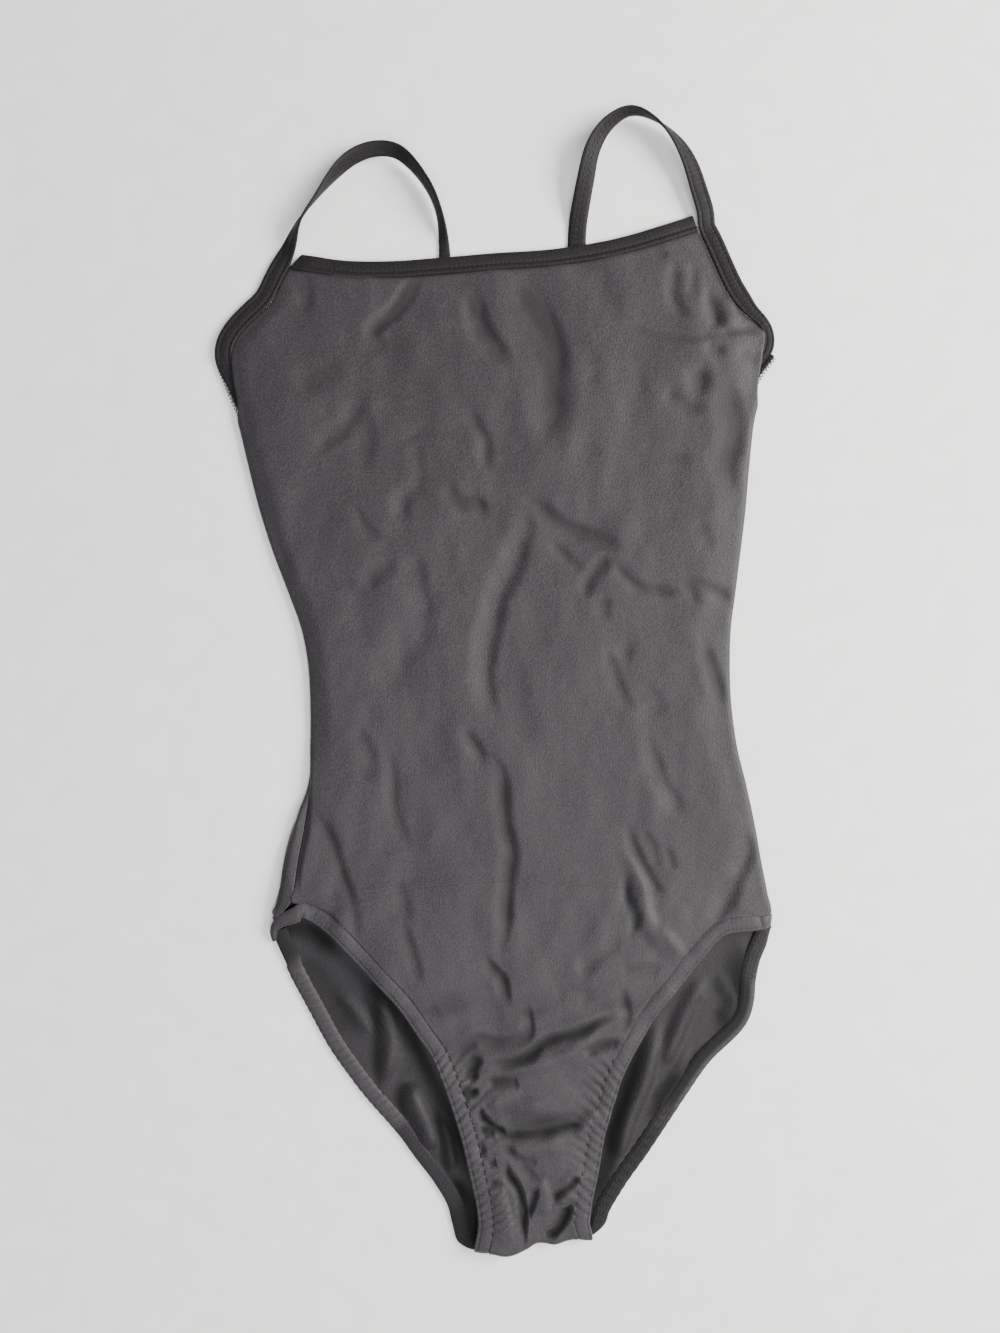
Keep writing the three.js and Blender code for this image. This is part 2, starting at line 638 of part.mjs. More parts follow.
const frontRows = [...frontTop, ...body.slice(1), ...frontLegs.slice(1)];
const backRows = [...scooped, ...backLegs.slice(1)];
const frontPanel = turnUnder(frontRows.map((section) => panelRow(section, 1, FRONT_COLUMNS)));
const backPanel = backRows.map((section) => panelRow(section, -1, BACK_COLUMNS));

const ARMHOLE_SECTIONS = 5;
const UNDERARM_ROW = ARMHOLE_SECTIONS * TOP_ROWS;
const BACK_HIP_ROW = (BODY.length - 1) * BODY_ROWS;
const FRONT_HIP_ROW = FRONT_TOP.length * TOP_ROWS + BACK_HIP_ROW;
const frontLast = { row: frontPanel.length - 1, column: frontPanel[0].length - 1 };
const backLast = { row: backPanel.length - 1, column: backPanel[0].length - 1 };

const leotard = new THREE.Group();

function add(name, geometry, colour, roughness) {
  const material = new THREE.MeshStandardMaterial({ color: colour, roughness, metalness: 0 });
  const mesh = new THREE.Mesh(geometry, material);
  mesh.name = name;
  leotard.add(mesh);
}

const CLOTH = 0x4e4a4d;
const TRIM = 0x474346;
const CLOTH_ROUGHNESS = 0.72;
const TRIM_ROUGHNESS = 0.66;

add('front_panel', wall(frontPanel, WALL), CLOTH, CLOTH_ROUGHNESS);
add('back_panel', wall(backPanel, WALL), CLOTH, CLOTH_ROUGHNESS);
add('neck_binding', neckBinding(rowEdge(frontPanel, 0)), TRIM, TRIM_ROUGHNESS);

const leftArmhole = columnEdge(frontPanel, 0, 0, UNDERARM_ROW).reverse();
const rightArmhole = columnEdge(frontPanel, frontLast.column, 0, UNDERARM_ROW).reverse();
add('strap_left', strap(leftArmhole, LEFT_STRAP, 1), TRIM, TRIM_ROUGHNESS);
add('strap_right', strap(rightArmhole, RIGHT_STRAP, -1), TRIM, TRIM_ROUGHNESS);

const scoop = rowEdge(backPanel, 0);
const backBinding = [
  ...floorFrames(BACK_BINDING_LEFT, -1),
  ...scoop.slice(1, -1),
  ...floorFrames(BACK_BINDING_RIGHT, -1),
];
add('back_binding', strip(backBinding, {
  start: SEAM, width: NECK_WIDTH, thick: BINDING_THICK, raise: BACK_BINDING_RAISE,
}), TRIM, TRIM_ROUGHNESS);

const hems = {
  front_leg_hem_left: [frontPanel, 0, FRONT_HIP_ROW, frontLast.row],
  front_leg_hem_right: [frontPanel, frontLast.column, FRONT_HIP_ROW, frontLast.row],
  back_leg_hem_left: [backPanel, 0, BACK_HIP_ROW, backLast.row],
  back_leg_hem_right: [backPanel, backLast.column, BACK_HIP_ROW + 1, backLast.row],
};
for (const [name, place] of Object.entries(hems)) {
  const face = place[0] === frontPanel ? 1 : -1;
  add(name, hemStrip(name, columnEdge(...place), face), TRIM, TRIM_ROUGHNESS);
}

export default leotard;
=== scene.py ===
"""A camisole leotard of charcoal stretch knit, laid flat with its front up, its two thin shoulder
straps standing in loose loops above the neckline. Metres, +Z up, +Y from crotch to straps."""

import math

import bmesh
import bpy
import numpy as np
from mathutils import Matrix, Vector


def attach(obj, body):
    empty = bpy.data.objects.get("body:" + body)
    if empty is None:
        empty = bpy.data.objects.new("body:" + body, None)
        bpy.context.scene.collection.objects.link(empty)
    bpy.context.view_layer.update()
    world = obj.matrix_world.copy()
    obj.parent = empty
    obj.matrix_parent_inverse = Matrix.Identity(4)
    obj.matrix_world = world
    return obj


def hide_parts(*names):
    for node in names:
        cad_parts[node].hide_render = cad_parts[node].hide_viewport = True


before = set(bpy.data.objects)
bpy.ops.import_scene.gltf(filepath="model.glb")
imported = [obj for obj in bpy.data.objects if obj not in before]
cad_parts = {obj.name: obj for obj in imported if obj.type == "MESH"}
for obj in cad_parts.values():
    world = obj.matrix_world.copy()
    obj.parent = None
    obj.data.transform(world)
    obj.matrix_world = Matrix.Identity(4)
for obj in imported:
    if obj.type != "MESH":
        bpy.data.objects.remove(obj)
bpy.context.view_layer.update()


# Front panel
# One piece of matte stretch knit from the neckline to the crotch. It is laid flat and not quite
# smooth: it wraps round the two side folds, and soft creases run down from the bust and across
# the hips. The sizes here are in millimetres.

MM = 0.001
WALL = 1.2
HALF = WALL / 2
SEAM = 0.3
FOLD_REACH = 2.2
CREST = HALF + FOLD_REACH
QUARTER = 3.4
EDGE_ZONE = 5.1
EDGE_SHARE = 0.2
LEFT_ROLL, RIGHT_ROLL = 14, 24
CLEAR = 2.9
CROTCH_REACH = 3.1
KNIT_THICKNESS = 0.8

# Each section runs from the left outline to the right one: left x, y and seam, right x, y and
# seam, the bow up the body, the height of the middle, and the heights at the two edges. A seam is
# at QUARTER on the upper end of the side fold, and at -QUARTER on its lower end. The front's top and
# legs are given without their seams, which are all at QUARTER.
FRONT_TOP = [
    (-127.6, 246, 124.6, 270, -11.7, 3.4, 1.8, 1.8), (-132, 238.5, 129.4, 261, -11, 3.8, 1.8, 1.8),
    (-138.4, 227, 136, 247, -9, 4.2, 1.9, 2.2), (-149, 218, 143.2, 233, -6, 5.0, 2.0, 2.6),
    (-157.6, 209, 152.2, 222, -3, 5.4, 2.4, 3.0), (-162, 199, 164.2, 212, 0, 5.6, 3.2, 3.4),
    (-161, 183, 163.4, 197, 0, 5.8, 3.5, 3.6), (-158.4, 166, 160.4, 175, 0, 5.8, 3.6, 3.6),
]
BODY = [
    (-153.6, 147, -3.4, 155.8, 156, -3.4, 0, 5.6, 3.2, 3.8),
    (-149.6, 130, -3.4, 153, 130, -3.4, 0, 5.6, 3.1, 4.2),
    (-143.6, 106, -3.4, 151, 106, -3.4, 0, 5.6, 3.1, 4.2),
    (-135.4, 80, -3.4, 148, 80, -3.4, 0, 5.6, 3.1, 4.2),
    (-125.2, 53, -3.4, 144.6, 53, -3.4, 0, 5.6, 3.1, 4.2),
    (-118, 33, -3.4, 142, 33, -3.4, 0, 5.6, 3.1, 4.2),
    (-114, 13, -3.4, 141.4, 13, -3.4, 0, 5.6, 3.1, 4.2),
    (-112.4, -11, -3.4, 142, -11, -3.4, 0, 5.6, 3.2, 4.2),
    (-112.4, -38, -2.8, 145.4, -38, -3.4, 0, 5.6, 3.5, 4.4),
    (-113.4, -61, 1.8, 151, -61, -3.4, 2, 5.6, 4.6, 4.4),
    (-122.4, -86, 8.0, 156.4, -86, -3.4, 8, 5.8, 4.6, 4.6),
    (-128.8, -108, 10.6, 160.2, -108, -3.4, 15, 6.0, 4.6, 4.8),
    (-131.4, -124, 11.0, 163.6, -126, -3.4, 20, 6.2, 4.6, 5.0),
    (-133.8, -134, 11.4, 165.8, -139, 0, 24, 6.4, 4.6, 5.2),
]
FRONT_LEGS = [
    (-115, -133, 155.4, -140.4, 19, 6.46, 5.6, 5.6), (-97.8, -144, 136, -143.6, 22, 6.7, 6.6, 6.6),
    (-83.2, -159, 120.4, -159, 21, 7.25, 7.3, 7.3), (-68.8, -174, 106, -177, 18, 7.8, 8.0, 8.0),
    (-55.6, -188, 95.2, -189, 15, 8.2, 8.4, 8.4), (-43.6, -205, 85.6, -204, 12, 8.4, 8.6, 8.6),
    (-32.8, -221, 76, -221, 9, 8.6, 8.8, 8.8), (-25.6, -238, 68.8, -237, 6, 8.8, 9.0, 9.0),
    (-20.8, -252, 64.6, -251, 4, 9.0, 9.0, 9.0), (-14.8, -271, 59.2, -270, 2, 9.0, 9.0, 9.0),
    (-10, -292, 55.6, -291, 1, 8.6, 8.8, 8.8), (-5.8, -312, 51.4, -311, 0, 8.2, 8.4, 8.4),
    (-4.6, -326, 50.2, -325, 0, 7.8, 8.0, 8.0), (-7, -339.5, 52, -333, 0, 7.2, 7.2, 7.2),
]

# Creases: half width, depth (under 0 for a ridge), and the line that the crease follows
BUST_CREASES = [
    (6, 1.0, [(-121.8, 244.5), (-115.8, 238.5), (-112.2, 229.5), (-112.2, 219.9)]),
    (6, 2.1, [(-43.2, 242.7), (-50.4, 235.5), (-58.8, 226.5), (-67.2, 217.5), (-72, 208.5), (-67.2, 199.5)]),
    (10, 0.9, [(-69.6, 205), (-70, 198)]),
    (8, 2.0, [(-15.6, 238.5), (-10.8, 223.5), (-6.6, 214.5), (0.6, 202.5), (7.2, 192.3)]),
    (9, 1.8, [(11.4, 244.5), (15.6, 235.5), (23.4, 229.5), (31.2, 220.5), (37.2, 202.5), (38.4, 187.5),
               (36.6, 172.5), (37.2, 166.5), (32.4, 151.5), (29.4, 136.5)]),
    (17, 1.5, [(14, 244), (22, 228), (32, 210), (38, 185), (37, 160), (31, 138)]),
    (5, 1.0, [(20.4, 202.5), (29.4, 190.5), (33.6, 182.7)]),
    (5, 1.1, [(106.2, 252.3), (108, 241.5), (109.2, 229.5), (114.6, 218.7)]),
    (3.5, 0.8, [(117.6, 252.3), (119.4, 241.5), (120.6, 229.5)]),
    (3.5, 0.6, [(95.4, 260.7), (103.2, 254.7)]),
    (5, 2.4, [(129, 238), (131.4, 226.5), (134.4, 217.5), (135.6, 211.5)]),
    (7, -1.2, [(139, 233), (141, 223), (147, 217)]),
    (3.5, 1.3, [(135.6, 211.5), (146.4, 212.7), (159, 213.3)]),
    (3.5, 0.9, [(70.2, 213.9), (86.4, 212.1), (98.4, 210.9), (122.4, 207.3), (128.4, 206.1)]),
    (4, 1.4, [(129.6, 205.5), (132, 200.7), (135.6, 199.5)]),
    (4, 0.7, [(146.4, 198.3), (160, 193.5)]),
    (8, 1.8, [(122.4, 190.5), (125.4, 182.7), (127.2, 176.7)]),
    (10, 1.7, [(139.2, 186), (143.4, 163.5), (142.2, 145.5), (140.4, 132.3), (144.6, 110)]),
    (6, 1.2, [(100.2, 176.7), (107.4, 170.7), (116.4, 166.5), (125.4, 168.3)]),
    (6, 0.6, [(92.4, 139.5), (116.4, 136.5)]),
    (6, 0.7, [(122.4, 97.5), (131.4, 82.5)]),
    (10, 0.9, [(-117.6, 172.5), (-106.8, 181.5), (-92.4, 192.3)]),
    (7, 1.2, [(-78.6, 172.5), (-82.8, 162.3), (-90.6, 154.5), (-99.6, 145.5), (-108.6, 138.3)]),
    (8, 0.9, [(-80.4, 163.5), (-76.8, 145.5), (-80.4, 127.5)]),
    (3.5, 0.6, [(-57.6, 142.5), (-48.6, 148.5), (-39.6, 150.9), (-21.6, 147.3)]),
    (6, 0.8, [(-48.6, 145.5), (-45.6, 127.5), (-40.8, 121.5)]),
    (5, 1.5, [(-14.4, 166.5), (-10.8, 157.5), (-6.6, 145.5), (-5.4, 136.5), (-2.4, 130.5)]),
]
WAIST_CREASES = [
    (6, 1.7, [(-30.6, 120.3), (-26.4, 114.3), (-20.4, 110.7), (-12.6, 109.5), (-7.8, 103.5), (-6, 97.5)]),
    (7, 1.3, [(-44.4, 120.3), (-51.6, 112.5), (-54.6, 106.5), (-54, 99.9)]),
    (4.5, 1.0, [(-84.6, 109.5), (-78.6, 97.5), (-74.4, 90.3), (-70.8, 85.5)]),
    (6, 1.0, [(-60.6, 71.7), (-69.6, 65.7), (-78.6, 58.5)]),
    (6, 0.6, [(-105.6, 62.7), (-93.6, 59.7), (-84.6, 62.7)]),
    (10, 1.3, [(-50.4, 76.5), (-46.8, 64.5), (-42.6, 49.5), (-40.8, 37.5)]),
    (14, 0.9, [(-42, 45), (-48, 28), (-57.6, 13.5), (-69.6, -10.5)]),
    (6.5, 1.7, [(14.4, 112.5), (26.4, 106.5), (38.4, 98.7), (50.4, 91.5), (65.4, 85.5), (75.6, 82.5)]),
    (4.5, 1.1, [(29.4, 88.5), (38.4, 80.7), (47.4, 72.3), (54, 67.5)]),
    (5, 1.7, [(68.4, 75.9), (62.4, 68.7), (57.6, 60.3), (53.4, 51.3)]),
    (4.5, 1.5, [(71.4, 73.5), (77.4, 66.3), (86.4, 58.5), (98.4, 55.5), (110.4, 53.7)]),
    (5, 1.1, [(104.4, 63.3), (116.4, 61.5), (125.4, 58.5), (135.6, 53.7), (141, 49.5)]),
    (4, 0.9, [(113.4, 61.5), (117.6, 54.3), (120.6, 47.7)]),
    (9, 2.0, [(15, 107.7), (19.2, 94.5), (16.2, 82.5), (11.4, 70.5), (5.4, 58.5), (2.4, 46.5), (-1.8, 34.5),
              (-3.6, 22.5), (-4.8, 2.7), (-2.4, -13.5), (2.4, -25.5)]),
    (6, 0.8, [(63.6, 51.3), (66, 36.3)]),
    (6, 0.7, [(79.2, 25.5), (77.4, 13.5)]),
    (5, 0.9, [(64.2, 19.5), (71.4, 7.5), (77.4, -4.5), (83.4, -16.5)]),
    (10, 0.9, [(86.4, 1.5), (95.4, -10.5), (101.4, -19.5)]),
    (7, 1.1, [(89.4, -37.5), (95.4, -46.5), (101.4, -58.5), (107.4, -70.5), (111.6, -82.5)]),
    (6, 1.5, [(127.2, 22.5), (130.8, 10.5), (133.2, -1.5), (136.2, -14.7)]),
    (5, 1.4, [(-18.6, -27.3), (-10.8, -39.3), (-7.8, -46.5)]),
    (6, 1.9, [(-7.2, -39.3), (1.2, -49.5), (4.8, -64.5), (7.2, -79.5), (8.4, -93), (9.6, -107), (9, -122),
              (6.4, -137), (4.6, -152), (2.4, -167.7)]),
    (6, 0.8, [(-80.4, -28.5), (-76.8, -37.5), (-72.6, -45.3)]),
    (5, 0.8, [(-66.6, -37.5), (-62.4, -52.5), (-60, -70.5), (-56.4, -88.5), (-51.6, -103.5)]),
    (6, 0.6, [(-81.6, -58.5), (-70.8, -49.5)]),
    (4, 1.6, [(-111.5, -52), (-113.2, -70), (-115.4, -92), (-117.4, -112), (-119, -128)]),
    (17, 1.0, [(-108, -70), (-103, -95), (-98, -120), (-95, -145)]),
]
HIP_CREASES = [
    (5, 1.8, [(-5.4, -165.3), (-0.6, -172.5), (4.2, -177.3), (7.2, -184.5), (8.4, -192.3)]),
    (6, 0.8, [(-60.6, -118.5), (-54.6, -130.5), (-50.4, -142.5)]),
    (5, 0.9, [(-56.4, -142.5), (-50.4, -157.5), (-46.8, -169.5), (-48.6, -178.5)]),
    (4.5, 1.7, [(-109.8, -70.5), (-102.6, -85.5), (-96, -100.5), (-90.6, -115.5), (-86.4, -130.5),
                (-84, -157.5)]),
    (5, 1.6, [(-117.6, -137.7), (-112.8, -135.3), (-106.8, -136.5), (-100.8, -141.3), (-93.6, -148.5)]),
    (7, -2.6, [(75.6, -100.5), (86.4, -121.5), (91.2, -136.5), (98.4, -148.5), (107.4, -160.5),
               (113.4, -164.7)]),
    (4, 1.5, [(79.6, -110.5), (80.2, -124.5), (81.4, -133.5), (84.4, -142.5), (80.6, -151.5)]),
    (4.5, 1.3, [(79.4, -85.5), (86.4, -100.5), (93.4, -118.5), (97.4, -127.5)]),
    (5, 0.9, [(88.4, -88.5), (94.2, -100.5), (98.4, -111.3)]),
    (4, 0.9, [(101.4, -98.5), (108.6, -113.7)]),
    (4, 0.9, [(96.4, -141.5), (102.4, -152.7), (109, -161.7)]),
    (8, 2.4, [(149.4, -88.5), (150.6, -100.5), (147.6, -112.5), (143.4, -121.5), (135.6, -133.5),
              (129.6, -145.5)]),
    (7, 1.0, [(47.4, -173.7), (56.4, -167.7), (65.4, -160.5), (74.4, -154.5)]),
    (7, 0.9, [(32.4, -187.5), (44.4, -184.5), (62.4, -188.1)]),
    (6, 0.8, [(74.4, -170.7), (98.4, -172.5)]),
    (4.5, 1.4, [(73.8, -181.5), (77.4, -190.5), (80.4, -199.5), (75.6, -207.3)]),
    (5, 1.6, [(19.2, -190.5), (20.4, -202.5), (17.4, -211.5), (5.4, -214.5), (-9.6, -214.5), (-18.6, -219.3),
              (-27.6, -224.1)]),
    (4.5, 0.6, [(-42.6, -202.5), (-34.2, -195.3)]),
]
CROTCH_CREASES = [
    (5, 2.2, [(-9.6, -223.5), (-12, -231.3), (-13.2, -238.5)]),
    (4.2, 2.6, [(-3.6, -228.3), (8.4, -225.9), (20.4, -222.3), (29.4, -217.5), (38.4, -212.1),
                (50.4, -207.3), (62.4, -203.1), (71.4, -200.7)]),
    (4.5, 1.4, [(-4.8, -240.3), (5.4, -239.1), (13.2, -237.9)]),
    (4.5, 1.4, [(53.4, -223.5), (60.6, -217.5), (68.4, -215.7), (73.2, -217.5)]),
    (4, 2.0, [(-19.8, -248.1), (-15.6, -245.7), (-10.8, -246.9)]),
    (3.2, 2.6, [(-10.8, -255.3), (-4.8, -260.7), (1.2, -265.5), (5.4, -270.3)]),
    (4, 2.0, [(-10.8, -269.7), (-5.4, -267.3), (0.6, -266.7)]),
    (9, 0.8, [(2.4, -261), (28, -261), (53.4, -262)]),
    (3.4, 3.2, [(0, -273.3), (11.4, -271.5), (20.4, -269.1), (32.4, -266.7), (44.4, -265.5),
                (53.4, -266.1)]),
    (3.5, 1.3, [(-9.6, -274.5), (-6.6, -283.5)]),
    (3.5, 1.2, [(-4.8, -289.5), (-0.6, -286.5)]),
    (3.5, 1.2, [(-3.6, -298.5), (5.4, -299.7)]),
    (3.6, 3.0, [(5.4, -286.5), (10.2, -295.5), (14.4, -304.5), (16.8, -319.5), (18, -335.7)]),
    (3.4, 1.9, [(23.4, -300.3), (22.8, -310.5), (20.4, -322.5)]),
    (4, 1.0, [(2.4, -276.3), (14.4, -283.5), (26.4, -286.5)]),
    (4, 1.0, [(14.4, -286.5), (23.4, -293.7), (29.4, -293.7)]),
    (3.2, 2.2, [(34.2, -310.5), (39.6, -303.3), (45.6, -298.5), (50.4, -295.5)]),
    (4.6, 3.2, [(28.2, -333), (38, -324), (46.2, -310.5)]),
    (7, -1.6, [(38, -314), (46, -301), (53, -291)]),
    (5, -1.4, [(50, -273), (57, -263), (58.5, -255)]),
    (7, -1.3, [(1, -298), (6, -316), (8, -334)]),
    (6, -1.2, [(25, -292), (30, -306), (29, -320)]),
    (6, -1.1, [(-6, -252), (4, -252), (16, -250), (34, -248)]),
    (6, -1.2, [(8, -280), (22, -278), (40, -274)]),
    (6, -1.2, [(2, -236), (18, -231), (36, -223), (58, -213)]),
]
FRONT_CREASES = BUST_CREASES + WAIST_CREASES + HIP_CREASES + CROTCH_CREASES


def smooth_rows(rows, at):
    """A smooth curve through the rows, column by column, at places that may lie between rows."""
    rows = np.asarray(rows, float)
    last = len(rows) - 1
    at = np.clip(np.asarray(at, float), 0, last)
    k = np.minimum(at.astype(int), last - 1)
    f = (at - k)[:, None]
    before, here, after, beyond = (rows[np.clip(k + n, 0, last)] for n in (-1, 0, 1, 2))
    slope_in, slope_out = (after - before) / 2, (beyond - here) / 2
    cubic = 2 * here - 2 * after + slope_in + slope_out
    square = 3 * after - 3 * here - 2 * slope_in - slope_out
    return cubic * f**3 + square * f**2 + slope_in * f + here


def ease(share):
    share = np.clip(share, 0, 1)
    return share * share * (3 - 2 * share)


# The light comes from this side of the cloth, and a crease's wall on that side is the steep one
LIT_SIDE = np.array([0.93, 0.37])
FINEST = 2.3
WANDER = 1.1
LINE_STEPS = 5
FAINTEST = 0.08


def crease_heights(creases, x, y):
    """How far the creases lower the cloth at each place, and how far they raise it."""
    dips, rises = np.zeros(x.shape), np.zeros(x.shape)
    for half, depth, line in creases:
        stops = np.linspace(0, len(line) - 1, LINE_STEPS * (len(line) - 1) + 1)
        path = smooth_rows(line, stops)
        path[:, 0] += WANDER * np.sin(2.1 * stops + line[0][1])
        path[:, 1] += WANDER * np.sin(1.7 * stops + line[0][0])
        reach = 2 * half
        near = (x > path[:, 0].min() - reach) & (x < path[:, 0].max() + reach)
        near &= (y > path[:, 1].min() - reach) & (y < path[:, 1].max() + reach)
        if not near.any():
            continue
        spots = np.stack([x[near], y[near]], 1)[:, None]
        start, run = path[None, :-1], (path[1:] - path[:-1])[None]
        along = np.clip(((spots - start) * run).sum(2) / (run * run).sum(2), 0, 1)
        offset = spots - start - along[..., None] * run
        far = np.linalg.norm(offset, axis=2)
        nearest = far.argmin(1)
        pick = np.arange(len(spots))
        stop = nearest + along[pick, nearest]
        share = stop / run.shape[1]
        far, offset = far[pick, nearest], offset[pick, nearest]
        lit = offset @ LIT_SIDE / np.maximum(far, 1e-6)
        fade = FAINTEST + (1 - FAINTEST) * ease(4 * np.minimum(share, 1 - share))
        fade = fade * (1 + 0.1 * np.sin(0.8 * stop + half + line[0][0]))
        width = np.maximum(FINEST, half * (1.15 - 0.5 * lit) * (0.6 + 0.4 * fade))
        hollow = np.where(far < width, (1 - (far / width) ** 2) ** 2, 0) * fade
        if depth > 0:
            dips[near] = np.hypot(dips[near], depth * hollow)
        else:
            rises[near] = np.hypot(rises[near], -depth * hollow)
    return dips, rises


# Slow unevenness of the cloth: its spacing across and along the body, and its height. Above the
# crotch it is crumpled into long wrinkles, because the two hems bunch it from the sides.
UNEVEN = [(26, 46, 0.9), (13, 24, 0.5), (7, 11, 0.2)]
CRUMPLED = [(30, 7.5, 0.8), (15, 4.8, 0.4)]
CRUMPLE_RUN, CRUMPLE_LEAN = 0.96, 0.26
CRUMPLE_TOP, CRUMPLE_FOOT, CRUMPLE_FADE = -170, -285, 30
KNOTS, MIDDLE_KNOT = 192, 90
SWAY = 0.3


def unevenness(x, y, table):
    """Random soft swells, longer up the body than across it, the same each time."""
    total = np.zeros(x.shape)
    for seed, (across, along, height) in enumerate(table):
        knots = np.random.default_rng(seed + 4).uniform(-1, 1, (KNOTS, KNOTS))
        u = x / across + MIDDLE_KNOT + SWAY * np.sin(y / 37)
        v = y / along + MIDDLE_KNOT + SWAY * np.sin(x / 29)
        i, j = u.astype(int), v.astype(int)
        f, g = ease(u - i), ease(v - j)
        low = knots[i, j] * (1 - f) + knots[i + 1, j] * f
        high = knots[i, j + 1] * (1 - f) + knots[i + 1, j + 1] * f
        total += height * (low * (1 - g) + high * g)
    return total


def crumple(x, y):
    """Wrinkles that rise a little to the right, across the front above the crotch."""
    along, up = CRUMPLE_RUN * x + CRUMPLE_LEAN * y, CRUMPLE_RUN * y - CRUMPLE_LEAN * x
    ends = ease((CRUMPLE_TOP - y) / CRUMPLE_FADE) * ease((y - CRUMPLE_FOOT) / CRUMPLE_FADE)
    return unevenness(along, up, CRUMPLED) * ends


def front_relief(x, y):
    """The front's creases, on slow swells that leave no part of it quite flat."""
    dips, rises = crease_heights(FRONT_CREASES, x, y)
    return rises - dips + unevenness(x, y, UNEVEN) + crumple(x, y)


def no_relief(x, y):
    return np.zeros(x.shape)


SEAM_ON_FOLD = 0.36
EDGE_COLUMNS = 5


def parting(seam):
    """Half the seam between the panels, and a little more where the seam climbs the fold."""
    return SEAM / 2 + SEAM_ON_FOLD * np.cos(np.clip(seam / QUARTER, -1, 1) * math.pi / 2)


def flattened_tube(sections, face, columns, top_relief, under_relief):
    """The points of one panel of the flattened tube of cloth. Its side folds turn within a few
    millimetres of the outline. Face is 1 for the front and -1 for the back."""
    left_x, left_y, left_seam, right_x, right_y, right_seam, bow, crown, left_z, right_z = (
        column[:, None] for column in sections.T
    )
    across = np.hypot(right_x - left_x, right_y - left_y)
    left_start = face * left_seam + parting(left_seam)
    right_start = face * right_seam + parting(right_seam)
    length = across - 2 * CREST + 2 * QUARTER - left_start - right_start
    zone = np.minimum(EDGE_ZONE, length * EDGE_SHARE)
    edge = np.arange(EDGE_COLUMNS) / EDGE_COLUMNS
    inner = np.linspace(0, 1, columns - 2 * EDGE_COLUMNS + 1)
    cloth = np.concatenate(
        [zone * edge, zone + (length - 2 * zone) * inner, length - zone * edge[::-1]], axis=1
    )
    on_left = cloth <= length / 2
    along = face * np.where(on_left, left_start + cloth, right_start + length - cloth)
    flat = np.abs(along) >= QUARTER
    angle = np.clip(along / QUARTER, -1, 1) * math.pi / 2
    reach = np.where(flat, CREST + np.abs(along) - QUARTER, CREST - FOLD_REACH * np.cos(angle))
    inset = np.where(on_left, reach, across - reach)
    share = inset / across
    between = np.clip((inset - CREST) / (across - 2 * CREST), 0, 1)
    x = left_x + (right_x - left_x) * share
    y = left_y + (right_y - left_y) * share + bow * 4 * between * (1 - between)
    level = crown - (crown - left_z) * (1 - ease(inset / LEFT_ROLL))
    level = level - (crown - right_z) * (1 - ease((across - inset) / RIGHT_ROLL))
    level = np.where(flat, level, np.where(on_left, left_z, right_z))
    top = np.maximum(level + top_relief(x, y), np.minimum(level, CLEAR))
    under = HALF + under_relief(x, y)
    folded = HALF + (top - HALF) * (1 + np.sin(angle)) / 2
    z = np.where(flat, np.where(along > 0, top, under), folded)
    return np.stack([x, y, z], 2)


def run_of(points):
    steps = np.linalg.norm(np.diff(points, axis=0), axis=1)
    return np.concatenate([[0], np.cumsum(steps)])


# Along the crotch's lower edge, from left to right: x, and how far the edge stands off its line
CROTCH_WAVE = [
    (-8, -0.4), (-2, -1.5), (5, -3.6), (11, -3.3), (18.6, -0.6), (24, 2.2), (29, 1.9), (35.4, 0.3),
    (42, 1.7), (47, 2.2), (52, 1.0),
]
WAVE_REACH = 14
TURN_STEPS = 8


def read_off(table, x):
    """A smooth curve through a table of x and value, read at other places."""
    return np.interp(x, *smooth_rows(table, np.linspace(0, len(table) - 1, 60)).T)


def turned_under(grid):
    """The crotch end of the front is a little wavy, and turns under in a half circle of cloth."""
    back = run_of(grid[::-1, grid.shape[1] // 2])[::-1, None]
    grid[..., 1] += read_off(CROTCH_WAVE, grid[-1, :, 0]) * ease(1 - back / WAVE_REACH)
    rows = [grid]
    for angle in np.linspace(math.pi / 2, -math.pi / 2, TURN_STEPS + 1)[1:]:
        row = grid[-1:].copy()
        row[..., 1] -= CROTCH_REACH * math.cos(angle)
        row[..., 2] = HALF + (row[..., 2] - HALF) * (1 + math.sin(angle)) / 2
        rows.append(row)
    return np.concatenate(rows)


# Along the neckline, from left to right: x, and how far the cloth is pulled up off its line
NECK_PULL = [
    (-128, 3.8), (-110, 2.0), (-90, 0.5), (-60, 0.9), (-34, 2.2), (0, 2.6), (36, 0.6), (72, 0),
    (100, 1.4), (125, 3.2),
]
NECK_PULL_REACH = 34


def necked(grid):
    """The neckline is drawn up a little at its ends and its middle."""
    down = run_of(grid[:, grid.shape[1] // 2])[:, None]
    grid[..., 1] += read_off(NECK_PULL, grid[..., 0]) * ease(1 - down / NECK_PULL_REACH)
    return grid


def seamed(rows, seam):
    """Whole sections from rows without seams, with the same seam on both sides."""
    return [(x, y, seam, u, v, seam, *heights) for x, y, u, v, *heights in rows]


def stretched_rows(parts):
    """Sections of the table divided evenly, with so many rows to a section in each part."""
    stops = [np.arange(0, last - first, 1 / rows) + first for first, last, rows in parts]
    return np.concatenate(stops + [[parts[-1][1]]])


def placed(name, data):
    made = bpy.data.objects.new(name, data)
    bpy.context.scene.collection.objects.link(made)
    return made


def mesh_piece(name, shape, material):
    mesh = bpy.data.meshes.new(name)
    shape.to_mesh(mesh)
    shape.free()
    mesh.materials.append(material)
    return placed(name, mesh)


